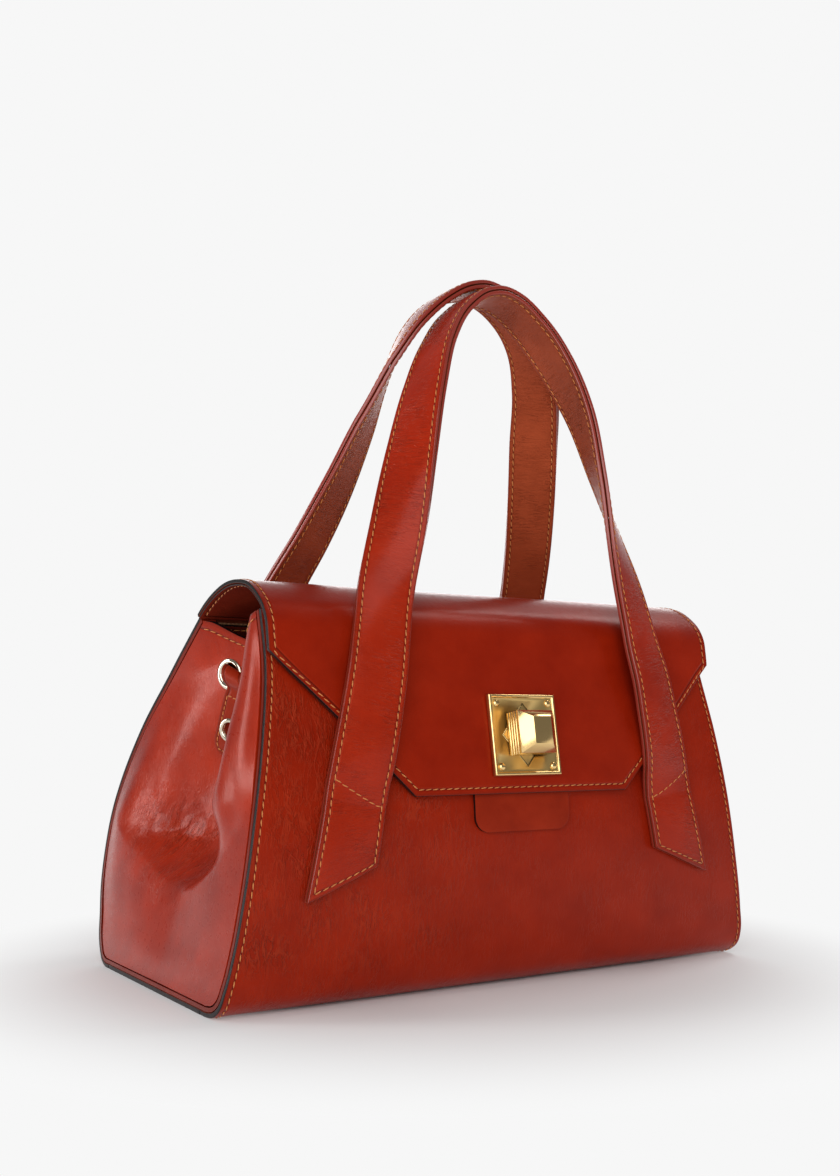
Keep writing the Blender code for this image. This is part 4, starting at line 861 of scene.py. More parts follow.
def run_on(section, corners, out=0.0):
    """A run of sewing through corners given as (x, length) on a section."""
    corners = np.array(corners, float)
    legs = [np.linspace(a, b, 120)[:-1] for a, b in zip(corners, corners[1:])]
    x, length = np.concatenate(legs + [corners[-1:]]).T
    return section.at(x, length, out), section.normal(length)


def grid_normals(points, toward):
    """Directions square to a grid of points, on the side where toward is positive."""
    normals = np.cross(np.gradient(points, axis=1), np.gradient(points, axis=0))
    normals /= np.maximum(np.linalg.norm(normals, axis=2), 1e-12)[:, :, None]
    return normals * np.sign((normals * toward).sum(axis=2).mean())


def pick(values, row, column):
    """Values of a grid at rows and columns between its own."""
    i = np.clip(np.floor(row).astype(int), 0, values.shape[0] - 2)
    j = np.clip(np.floor(column).astype(int), 0, values.shape[1] - 2)
    a, b = (row - i)[:, None], (column - j)[:, None]
    return ((1 - a) * (1 - b) * values[i, j] + a * (1 - b) * values[i + 1, j]
            + (1 - a) * b * values[i, j + 1] + a * b * values[i + 1, j + 1])


# Front and back panels
def panel_grid(section, start, end, margin, out, columns=141, rows=150):
    """Grid, leather coordinates and edge distances of a sheet on a wall of the bag."""
    lengths = np.linspace(start, end, rows)
    reach = half_width(section.at(0.0, lengths)[:, 2]) - margin
    x = reach[:, None] * edge_spread(columns)[None, :]
    s = np.broadcast_to(lengths[:, None], x.shape)
    edge = np.minimum(reach[:, None] - np.abs(x), end - s)
    return section.at(x, s, out), np.stack([x, s], axis=-1), edge


def build_panels():
    """Outer leather of the two walls, with their sewing."""
    for name, section, way, calf, slot, dents, seed in (
            ("front", front, -1.0, grained_calf, "leather_front", 45.0 * MM, 1),
            ("back", back, 1.0, panel_calf, "leather_smooth", 50.0 * MM, 3)):
        points, flat, edge = panel_grid(section, 0.0, section.length, 0.0, 0.0)
        x, height = points[..., 0], points[..., 2]
        hollow = PANEL_HOLLOW * (1.0 + wobble(points, dents, seed)) / 2.0 * ease(edge / (12.0 * MM))
        points = points - hollow[..., None] * section.normal(flat[..., 1])
        if section is front:
            # Creased most on its left and least along the base; the crease lines are paled for rubbed wear
            # and as a painted highlight
            creased = 0.25 + 0.75 * ease((-x - 5.0 * MM) / (90.0 * MM))
            creased *= 0.75 + 0.5 * wobble(points, 30.0 * MM, 2)
            creased *= 1.0 - 0.6 * ease((35.0 * MM - height) / (30.0 * MM))
        else:
            creased = 0.5 + 0.5 * wobble(points, 50.0 * MM, 4)
        marks = {"edge": edge, "creased": np.clip(creased, 0.0, 1.0)}
        sheet = laid_sheet(points, flat, marks, PANEL_THICKNESS, PANEL_RIM, (0.0, way, 0.0))
        settle(sheet, f"{name}_panel_leather", [calf, flesh_side, edge_paint], "bag", slot, f"{name}_panel")
        if section is front:
            cut_away(sheet, block((SLOT_WIDTH, SLOT_LENGTH, CUTTER_DEPTH),
                                  (0.0, SLOT_RISE / 2.0, -CUTTER_DEPTH / 2.0), lock_place()))

    for name, section in (("front", front), ("back", back)):
        s = np.linspace(2.0 * MM, section.length - PANEL_SEAM, 200)
        reach = half_width(section.at(0.0, s)[:, 2]) - PANEL_SEAM
        runs = [(section.at(side * reach, s), section.normal(s)) for _, side in SIDES]
        top = section.length - PANEL_SEAM
        runs.append(run_on(section, [(-reach[-1], top), (reach[-1], top)]))
        sew(f"{name}_panel_sewing", runs, "bag")


def build_base():
    """The base, with painted edges under the gussets."""
    low, high = (np.array(corner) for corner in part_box("base_panel"))
    x = np.broadcast_to((low[0] + (high[0] - low[0]) * (edge_spread(61) + 1.0) / 2.0)[None, :], (41, 61))
    y = np.broadcast_to(np.linspace(low[1], high[1], 41)[:, None], x.shape)
    points = np.stack([x, y, np.full_like(x, low[2])], axis=-1)
    edge = np.minimum(np.minimum(x - low[0], high[0] - x), np.minimum(y - low[1], high[1] - y))
    sheet = laid_sheet(
        points, points[..., :2], {"edge": edge}, float(high[2] - low[2]), BASE_RIM, (0.0, 0.0, -1.0))
    settle(sheet, "base_panel_leather", [base_calf, flesh_side, edge_paint],
           "bag", "leather_smooth", "base_panel")


def build_facings():
    """The leather bands inside the mouth, with their sewing."""
    for name, section, facing_side in (("front", front, 1.0), ("back", back, -1.0)):
        far = -(PANEL_THICKNESS + 2.0 * GAP + LINING_THICKNESS)
        points, flat, edge = panel_grid(
            section, section.length - FACING_HEIGHT, section.length - WELT_THICKNESS,
            SEAM_ALLOWANCE + WELT_THICKNESS, far - FACING_THICKNESS, 81, 20)
        sheet = laid_sheet(points, flat, {"edge": edge}, FACING_THICKNESS, THIN_RIM, (0.0, facing_side, 0.0))
        settle(sheet, f"{name}_facing_leather", [inner_calf, flesh_side, edge_paint], "bag", "leather_under",
               f"{name}_top_facing")
        top = section.length - WELT_THICKNESS - PANEL_SEAM
        reach = half_width(section.points[-1, 1]) - SEAM_ALLOWANCE - WELT_THICKNESS - PANEL_SEAM
        run, normals = run_on(section, [(-reach, top), (reach, top)], far - FACING_THICKNESS)
        sew(f"{name}_facing_sewing", [(run, -normals)], "bag", "leather_under")


# Gussets
def gusset_grid(side, depth, columns=121, rows=150):
    """Grid of a gusset, turned in at both seams."""
    low, low_rows = 0.06, 13
    rise = np.concatenate([np.linspace(0.0, low, low_rows + 1)[:-1], np.linspace(low, 1.0, rows - low_rows)])
    place = edge_spread(columns, 0.5) * GUSSET_FACE
    place, rise = np.broadcast_arrays(place[None, :], rise[:, None])
    height = gusset_height(place, rise)
    points = gusset_points(side, place, height)
    normals = grid_normals(points, np.array((side, 0.0, 0.0)))
    return place, rise, points - depth * normals, normals


def build_gusset(name, side):
    """A gusset folded inwards, crumpled over its ledge and eased into its seams."""
    place, rise, points, normals = gusset_grid(side, 0.0)

    # The leather crumples over the middle of its ledge and rolls softly elsewhere
    height = points[..., 2]
    over = (height - ledge_line(place)) / (45.0 * MM)
    crumple = np.exp(-((over - 0.35) / 0.42) ** 2) * np.exp(-((place - 0.22) / 0.42) ** 2)
    soft = 0.16 * np.exp(-(place / 0.8) ** 2) * ease((height - 30.0 * MM) / (50.0 * MM))

    # It lies smooth at its edges, round the eyelets and under the tabs
    smooth = ease((1.0 - np.abs(place)) / 0.12) * ease((1.0 - rise) / 0.08)
    clear, fade = 9.0 * MM, 12.0 * MM
    for spot, tab_place in ((EYELET_BACK_PLACE, TAB_BACK_PLACE), (EYELET_FRONT_PLACE, TAB_FRONT_PLACE)):
        center = gusset_points(side, spot, EYELET_HEIGHT)
        smooth = smooth * ease((np.linalg.norm(points - center, axis=-1) - clear) / fade)
        tab = gusset_points(side, tab_place, (TAB_BOTTOM + TAB_SHOULDER) / 2.0)
        away = np.linalg.norm((points - tab) * (1.0, 1.0, 0.45), axis=-1)
        smooth = smooth * ease((away - clear) / fade)
    folds = wobble(points * (1.0, 1.0, 0.55), 11.0 * MM, 5) * 0.9 + wobble(points, 5.0 * MM, 6) * 0.45
    rolling = wobble(points, 30.0 * MM, 7)
    bulge = (crumple * 1.1 * MM * folds + 1.5 * MM * rolling * soft) * smooth
    points = points + bulge[..., None] * normals

    # The seams are turned inwards behind the front and back panels, and skived thin there
    turned = []
    for end, section in ((0, front), (-1, back)):
        h = points[:, end, 2]
        s = section.at_height(h, -gusset_out)
        width = half_width(section.at(0.0, s)[:, 2])
        steps = []
        for out, reach in ((gusset_out, width - WELT_WIDTH), (gusset_out, width - WELT_THICKNESS - 2.4 * MM),
                           (gusset_out + 0.4 * MM, width - WELT_THICKNESS - 0.9 * MM),
                           (gusset_out + 1.5 * MM, width - WELT_THICKNESS - 0.1 * MM)):
            steps.append(section.at(side * reach, s, -out))
        turned.append(np.stack(steps, axis=1))
    points = np.concatenate([turned[0], points, turned[1][:, ::-1]], axis=1)
    pad = ((0, 0), (4, 4))
    top_gap = np.pad((1.0 - rise) * (height[-1] - gusset_out)[None, :], pad, mode="edge")
    crumple = np.pad(np.clip(crumple + soft, 0.0, 1.0), pad, mode="edge")
    skived = np.pad(ease((1.0 - np.abs(place)) / 0.08), pad)
    across = np.cumsum(np.linalg.norm(np.diff(points, axis=1, prepend=points[:, :1]), axis=-1), axis=1)
    flat = np.stack([across, np.broadcast_to(points[..., 2], across.shape)], axis=-1)
    sheet = laid_sheet(points, flat, {"edge": top_gap, "creased": crumple, "wall": skived}, GUSSET_THICKNESS,
                       SOFT_RIM, (side, 0.0, 0.0), even=False)
    settle(sheet, f"{name}_gusset_leather", [gusset_calf, flesh_side, edge_paint], "bag", "leather_smooth",
           f"{name}_gusset")
    for spot in (EYELET_BACK_PLACE, EYELET_FRONT_PLACE):
        hole = gusset_frame(side, spot, EYELET_HEIGHT)
        cut_away(sheet, drill(hole, EYELET_HOLE + EYELET_BARREL / 2.0, 8.0 * MM))

    seam_place = np.linspace(-0.93, 0.93, 240)
    seam_height = gusset_height(seam_place, 1.0) - GUSSET_SEAM
    run, above, below = (gusset_points(side, seam_place, seam_height + rise) for rise in (0.0, MM, -MM))
    up = above - below
    normals = np.cross(np.gradient(run, axis=0), up)
    normals *= np.sign(normals[:, 0:1].mean()) * side
    sew(f"{name}_gusset_sewing", [(run, normals)], "bag")


# Eyelets
def eyelet(name, place, hole, flange, top, bottom, node):
    """A rolled eyelet: a bead on each face of the leather, and the barrel between them."""
    parts = []
    for level in (top + BEAD_RISE, bottom - BEAD_RISE):
        bead = new_shape(
            bpy.ops.mesh.primitive_torus_add, major_radius=(hole + flange) / 2.0,
            minor_radius=(flange - hole) / 2.0, major_segments=56, minor_segments=16)
        bead.data.transform(at_size((0.0, 0.0, level), (1.0, 1.0, BEAD_FLATNESS)))
        parts.append(bead)
    barrel = new_shape(
        bpy.ops.mesh.primitive_cylinder_add, vertices=56, radius=hole + EYELET_BARREL * 0.4,
        depth=top - bottom, end_fill_type="NOTHING", location=(0.0, 0.0, (top + bottom) / 2.0))
    wall = barrel.modifiers.new("wall", "SOLIDIFY")
    wall.thickness = EYELET_BARREL * 0.8
    wall.offset = 0.0
    finish_modifiers(barrel)
    bpy.ops.object.transform_apply(location=True)
    ring = join(parts + [barrel])
    ring.data.transform(place)
    bpy.ops.object.shade_smooth()
    return settle(ring, name, [nickel], "bag", "nickel", node)


# Cinch straps
def cinch_path(side, steps):
    """Points, ways across and half widths along a cinch strap, from one tab's tip to the other's."""
    halves = []
    for place, tab_place in ((EYELET_BACK_PLACE, TAB_BACK_PLACE), (EYELET_FRONT_PLACE, TAB_FRONT_PLACE)):
        tab = []
        for height in np.linspace(TAB_BOTTOM, TAB_SHOULDER, 7):
            spot = tab_frame(side, tab_place, height)
            aside = spot.col[0].to_3d()
            tab.append((spot.translation, -aside * math.copysign(1.0, place * aside.y), TAB_WIDTH / 2.0))
        hole = gusset_frame(side, place, EYELET_HEIGHT)
        aside, up, normal = (hole.col[k].to_3d() for k in range(3))
        aside *= -math.copysign(1.0, place * aside.y)
        for out, rise, shift, reach in NECK_FOLD:
            tab.append((hole.translation + out * normal + rise * up + shift * aside, aside, reach))
        halves.append(tab)
    inside = gusset_frame(side, 0.0, EYELET_HEIGHT).translation - side * Vector((NECK_INSET, 0.0, 0.0))
    stations = halves[0] + [(inside, Vector((side, 0.0, 0.0)), NECK_FOLD[-1][3])] + halves[1][::-1]
    packed = np.array([[*p, *a, w] for p, a, w in stations])
    path = smooth_curve(packed[:, :3], steps)
    keys = lengths_along(packed[:, :3])
    rest = values_at(np.linspace(0.0, 1.0, len(path)) * keys[-1], keys, packed[:, 3:])
    for _ in range(12):
        rest[1:-1] = (rest[:-2] + 2.0 * rest[1:-1] + rest[2:]) / 4.0
    return path, rest[:, :3], rest[:, 3]


def build_cinch_strap(name, side):
    """A strap through both eyelets of a gusset, with a round-ended tab hanging from each."""
    path, across, widths = cinch_path(side, CINCH_STEPS)
    across = unit(across)
    faces = unit(side * np.cross(np.gradient(path, axis=0), across))
    steps = lengths_along(path)
    radius = TAB_WIDTH / 2.0
    for s in (steps, steps[-1] - steps):
        tip = np.clip(1.0 - s / radius, 0.0, 1.0)
        widths = np.minimum(widths, radius * np.sqrt(np.maximum(1.0 - tip**2, 0.02)))
    columns = np.linspace(-1.0, 1.0, 15)
    half = TAB_THICKNESS / 2.0
    reach = widths[:, None] * columns[None, :]
    points = path[:, None] + half * faces[:, None] + reach[..., None] * across[:, None]
    ends = np.minimum(steps, steps[-1] - steps)
    edge = np.minimum(widths[:, None] * (1.0 - np.abs(columns)[None, :]), ends[:, None] + 0.0 * reach)
    flat = np.stack([reach, np.broadcast_to(steps[:, None], reach.shape)], axis=-1)
    sheet = laid_sheet(points, flat, {"edge": edge}, TAB_THICKNESS, SOFT_RIM, faces[:, None], even=False)
    settle(sheet, f"{name}_cinch_leather", [tab_calf, flesh_side, strap_edge], "bag", "leather_smooth",
           f"{name}_cinch_strap")
    for tab_place in (TAB_BACK_PLACE, TAB_FRONT_PLACE):
        spot = tab_frame(side, tab_place, TAB_EYELET_HEIGHT)
        cut_away(sheet, drill(spot, TAB_EYELET_HOLE + EYELET_BARREL / 2.0, 4.0 * MM))

    # One run down each side of each tab, round its tip, and one across its shoulder
    runs = []
    length = TAB_SHOULDER - TAB_BOTTOM - 1.5 * MM
    for near, s in (("back", steps), ("front", steps[-1] - steps)):
        tab = np.nonzero(s < length)[0]
        order = tab if near == "back" else tab[::-1]
        outline = []
        for sign in (-1.0, 1.0):
            inset = np.maximum(widths[order] - TAB_SEAM, 0.0)
            keep = s[order] > TAB_SEAM
            edge_run = path[order] + half * faces[order] + (sign * inset)[:, None] * across[order]
            outline.append((edge_run[keep], faces[order][keep]))
        left, right = outline
        runs.append((np.concatenate([left[0][::-1], right[0]]), np.concatenate([left[1][::-1], right[1]])))
        runs.append((np.stack([left[0][-1], right[0][-1]]), np.stack([left[1][-1], right[1][-1]])))
    sew(f"{name}_tab_sewing", runs, "bag", pitch=TAB_STITCH_PITCH, width=TAB_STITCH_WIDTH)


# Handles
def strap_lines(section, fold_height, rise, reach, shares, twist, facing):
    """Points, facings and half widths along a handle."""
    middle = GAP + STRAP_THICKNESS / 2.0
    fold = float(section.at_height(fold_height))
    start = section.at(0.0, fold, middle)
    half = [(-x * HANDLE_HALF_SPREAD, start[1] + y * reach, start[2] + z * rise) for x, y, z in shares]
    path = smooth_curve(half + [(-x, y, z) for x, y, z in half[-2::-1]], 2 * STRAP_STEPS)
    start_face = section.normal(fold)
    start_tangent = np.array((0.0, -start_face[2], start_face[1]))
    start_tangent *= math.copysign(1.0, start_tangent[2])
    tangents = unit(np.gradient(path, axis=0))
    share = (path[:, 2] - start[2]) / rise
    free = ease(share / STRAP_SQUARE)[:, None]
    tangents = unit(np.sign(tangents[:, 2:]) * start_tangent * (1.0 - free) + tangents * free)
    spread = STRAP_STEPS // 12
    kernel = np.hanning(2 * spread + 1)
    turn = np.pad(np.interp(share, *zip(*twist)), spread, mode="edge")
    turn = np.convolve(turn, kernel / kernel.sum(), mode="valid") * math.pi / 2.0
    ahead = unit(start_face * (1.0 - free) + np.array((0.0, facing, 0.0)) * free)
    outward = unit(np.stack([-tangents[:, 2], np.zeros(len(path)), tangents[:, 0]], axis=1))
    faces = np.cos(turn)[:, None] * ahead + np.sin(turn)[:, None] * outward
    faces = unit(faces - (faces * tangents).sum(axis=1)[:, None] * tangents)
    width = np.interp(share, (0.0, STRAP_FLARE), (STRAP_END_WIDTH, STRAP_WIDTH))
    return path, faces, np.cross(tangents, faces) * width[:, None] / 2.0


def strap_grid(section, fold_height, handle, facing, out):
    """Grid of a whole strap: one stitched end, the handle and the other end."""
    path, faces, across = handle
    shares = edge_spread(STRAP_COLUMNS, 0.5)
    middle = GAP + STRAP_THICKNESS / 2.0
    hand = path[:, None] + out * faces[:, None] + shares[None, :, None] * across[:, None]
    fold = float(section.at_height(fold_height))
    u = np.linspace(0.0, 1.0, STRAP_END_ROWS, endpoint=False)[:, None]
    inner = HANDLE_HALF_SPREAD - STRAP_END_WIDTH / 2.0
    outer = HANDLE_HALF_SPREAD + STRAP_END_WIDTH / 2.0
    w = (1.0 - facing * shares[None, :]) / 2.0
    outer_x = END_OUTER_REACH + u * (outer - END_OUTER_REACH)
    inner_x = END_INNER_REACH + u * (inner - END_INNER_REACH)
    x = outer_x * (1.0 - w) + inner_x * w
    s = fold - END_OUTER_DROP * (1.0 - u) * (1.0 - w) - END_INNER_DROP * (1.0 - u) * w
    left = section.at(-x, s, middle + out)
    right = section.at(x, s, middle + out)
    points = np.concatenate([left, hand, right[::-1]])
    along = lengths_along(points[:, STRAP_COLUMNS // 2])
    halves = np.linalg.norm(points[:, -1] - points[:, 0], axis=1)[:, None] / 2.0
    side_edge = (1.0 - np.abs(shares))[None, :] * halves
    edge = np.minimum(side_edge, np.minimum(along, along[-1] - along)[:, None])
    flat = np.stack([shares[None, :] * halves, np.broadcast_to(along[:, None], edge.shape)], axis=-1)
    return points, flat, edge


def strap_runs(points, normals, facing, outer):
    """Sewing down both sides of a strap and, on its outer face, round its ends and across above them."""
    rows, columns = points.shape[:2]
    spread = edge_spread(columns, 0.5)
    halves = np.linalg.norm(points[:, -1] - points[:, 0], axis=1) / 2.0
    center = points[:, columns // 2]
    first = STRAP_SEAM / np.linalg.norm(center[1] - center[0])
    clear = first if outer else STRAP_END_ROWS + 8.0
    runs = []

    def run(row, side):
        half = np.interp(row, np.arange(rows), halves)
        column = np.interp(side * (1.0 - STRAP_SEAM / half), spread, np.arange(columns))
        runs.append((pick(points, row, column), pick(normals, row, column)))

    line = np.linspace(clear, rows - 1 - clear, 900)
    run(line, np.full(900, -1.0))
    run(line, np.full(900, 1.0))
    if outer:
        side = np.linspace(-1.0, 1.0, 30)
        step = np.linalg.norm(center[STRAP_END_ROWS + 2] - center[STRAP_END_ROWS + 1])
        high = STRAP_END_ROWS + CROSS_OUTER_RISE / step
        low = STRAP_END_ROWS - CROSS_INNER_DROP / END_INNER_DROP * STRAP_END_ROWS
        across = (high + low) / 2.0 + facing * side * (high - low) / 2.0
        for row in (np.full(30, first), across):
            run(row, side)
            run(rows - 1 - row, side)
    return runs


def build_handle(name, section, fold_height, rise, reach, shares, twist, facing):
    """A strap handle of two leathers, sewn together and down to the bag at its ends."""
    handle = strap_lines(section, fold_height, rise, reach, shares, twist, facing)
    half = STRAP_THICKNESS / 2.0
    fold_z = float(section.at(0.0, section.at_height(fold_height))[2])
    spread = np.abs(edge_spread(STRAP_COLUMNS, 0.5))
    crown = STRAP_CROWN * (1.0 - np.clip(spread / 0.8, 0.0, 1.0) ** 2.4)
    for layer, out, way, skin in (("outer", half, 1.0, strap_calf), ("lining", -half, -1.0, strap_back_calf)):
        outer = layer == "outer"
        points, flat, edge = strap_grid(section, fold_height, handle, facing, out)
        normals = way * grid_normals(points, np.array((0.0, facing, 0.0)))
        if outer:
            points = points + crown[None, :, None] * normals
        crumple = np.clip(0.45 + 0.6 * wobble(points, 30.0 * MM, 8), 0.0, 1.0)
        marks = {"edge": edge, "creased": crumple}
        sheet = laid_sheet(points, flat, marks, half - GAP / 2.0, STRAP_RIM, normals)
        nodes = [f"{name}_handle_{layer}"]
        if outer:
            nodes += [f"{name}_left_handle_end", f"{name}_right_handle_end"]
        slot = "leather_smooth" if outer else "leather_under"
        settle(sheet, f"{name}_strap_{layer}_leather", [skin, flesh_side, strap_edge], None, slot, *nodes)
        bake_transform(sheet)
        runs = strap_runs(points, normals, facing, outer)
        sewing = sew(f"{name}_strap_{layer}_sewing", runs, None, slot)
        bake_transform(sewing)


# Flap
def flap_reach(length, margin=0.0):
    """Half the flap's width at a length: full over the mouth, then straight in to the tongue."""
    share = np.clip((length - flap_corner) / (flap.length - flap_corner), 0.0, 1.0)
    return FLAP_HALF_WIDTH + share * (TONGUE_HALF_WIDTH - FLAP_HALF_WIDTH) - margin


def flap_grid(out, margin, columns=151):
    """Grid of a sheet of the flap, with a row at the corners where it starts to narrow."""
    lengths = np.concatenate([
        np.linspace(HINGE_GAP, flap_corner, 96)[:-1], np.linspace(flap_corner, flap.length - margin, 66)])
    reach = flap_reach(lengths, margin)
    x = reach[:, None] * edge_spread(columns)[None, :]
    s = np.broadcast_to(lengths[:, None], x.shape)
    slope = (FLAP_HALF_WIDTH - TONGUE_HALF_WIDTH) / (flap.length - flap_corner)
    straight = FLAP_HALF_WIDTH - np.abs(x)
    slanted = (FLAP_HALF_WIDTH - slope * (s - flap_corner) - np.abs(x)) / math.sqrt(1.0 + slope**2)
    edge = np.minimum(np.minimum(straight, slanted), flap.length - s)
    return flap.at(x, s, out), np.stack([x, s], axis=-1), np.minimum(edge, s)


def build_flap():
    """The flap's leather and lining, with the sewing round its edge and across its hinge."""
    points, flat, edge = flap_grid(0.0, 0.0)
    height = points[..., 2]
    over_mouth = ease((height - 165.0 * MM) / (20.0 * MM))
    swell = 0.5 * MM * wobble(points, 60.0 * MM, 9) * ease(edge / (20.0 * MM)) * over_mouth
    points = points + swell[..., None] * flap.normal(flat[..., 1])
    sheet = laid_sheet(points, flat, {"edge": edge}, FLAP_THICKNESS, SOFT_RIM, flap.normal(flat[..., 1]))
    settle(sheet, "flap_leather", [flap_calf, flesh_side, edge_paint], "flap", "leather_smooth", "flap")
    cut_away(sheet, drill(lock_place(), BORE_RADIUS, 6.0 * MM))

    inner = -(FLAP_THICKNESS + GAP + LINING_THICKNESS)
    points, flat, edge = flap_grid(inner, GAP)
    sheet = laid_sheet(points, flat, {"edge": edge}, LINING_THICKNESS, THIN_RIM, -flap.normal(flat[..., 1]))
    settle(sheet, "flap_lining_leather", [inner_calf, flesh_side, edge_paint],
           "flap", "leather_under", "flap_lining")
    cut_away(sheet, drill(lock_place(), BORE_RADIUS, 6.0 * MM))

    slope = (FLAP_HALF_WIDTH - TONGUE_HALF_WIDTH) / (flap.length - flap_corner)
    tilt = math.sqrt(1.0 + slope**2)
    side = FLAP_HALF_WIDTH - FLAP_SEAM
    corner = flap_corner + (FLAP_SEAM * tilt - FLAP_SEAM) / slope
    bottom = flap.length - FLAP_SEAM
    tongue = FLAP_HALF_WIDTH - slope * (bottom - flap_corner) - FLAP_SEAM * tilt
    start = HINGE_GAP + 3.0 * MM
    right = [(side, start), (side, corner), (tongue, bottom)]
    outline = [(-x, s) for x, s in right] + right[::-1]
    runs = [run_on(flap, outline), run_on(flap, [(-side, start), (side, start)])]
    sew("flap_sewing", runs, "flap")
    run, normals = run_on(flap, outline, inner)
    sew("flap_lining_sewing", [(run, -normals)], "flap", "leather_under")


def build_hinge():
    """The strip of leather inside the hinge's seam, from the back's top edge over into the flap."""
    reach = np.linspace(-1.0, 1.0, 61) * (half_width(BACK_HEIGHT) - PANEL_SEAM)
    depth = -0.6 * MM
    rows = []
    for section, lengths in ((back, back.length - np.array((3.0, 2.0, 1.0, 0.4)) * MM),
                             (flap, HINGE_GAP + np.array((0.0, 0.6, 1.4, 2.4)) * MM)):
        x, s = np.broadcast_arrays(reach[None, :], lengths[:, None])
        rows.append(section.at(x, s, depth))
    points = np.concatenate(rows)
    across = np.broadcast_to(np.arange(len(points))[:, None] * MM, points.shape[:2])
    flat = np.stack([points[..., 0], across], axis=-1)
    strip = laid_sheet(points, flat, {"edge": 10.0 * MM}, 0.9 * MM, 0.0, (0.0, 0.3, 1.0))
    settle(strip, "hinge_leather", [flap_calf, flesh_side, edge_paint], None, "leather_smooth")
    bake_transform(strip)


# Turn lock
def lock_place():
    """The lock's frame on the flap: X right, Y up the flap and Z out of it."""
    length = flap.length_on_front(LOCK_HEIGHT)
    return frame_at(flap.at(0.0, length), flap.normal(length), (0.0, 0.0, 1.0))


def select_faces(piece, wanted):
    """Enter edit mode with only the wanted faces of a piece selected."""
    bpy.ops.object.select_all(action="DESELECT")
    piece.select_set(True)
    bpy.context.view_layer.objects.active = piece
    bpy.ops.object.mode_set(mode="EDIT")
    bpy.ops.mesh.select_mode(type="FACE")
    bpy.ops.mesh.select_all(action="DESELECT")
    bpy.ops.object.mode_set(mode="OBJECT")
    for polygon in piece.data.polygons:
        polygon.select = bool(wanted(polygon))
    bpy.ops.object.mode_set(mode="EDIT")


def soften(piece, width, steps=3, angle=25.0):
    """Round the sharp edges of a cast piece."""
    rounded = piece.modifiers.new("softened", "BEVEL")
    rounded.width = width
    rounded.segments = steps
    rounded.limit_method = "ANGLE"
    rounded.angle_limit = math.radians(angle)
    rounded.harden_normals = True
    finish_modifiers(piece)
    bpy.ops.object.shade_smooth_by_angle(angle=math.radians(40.0))


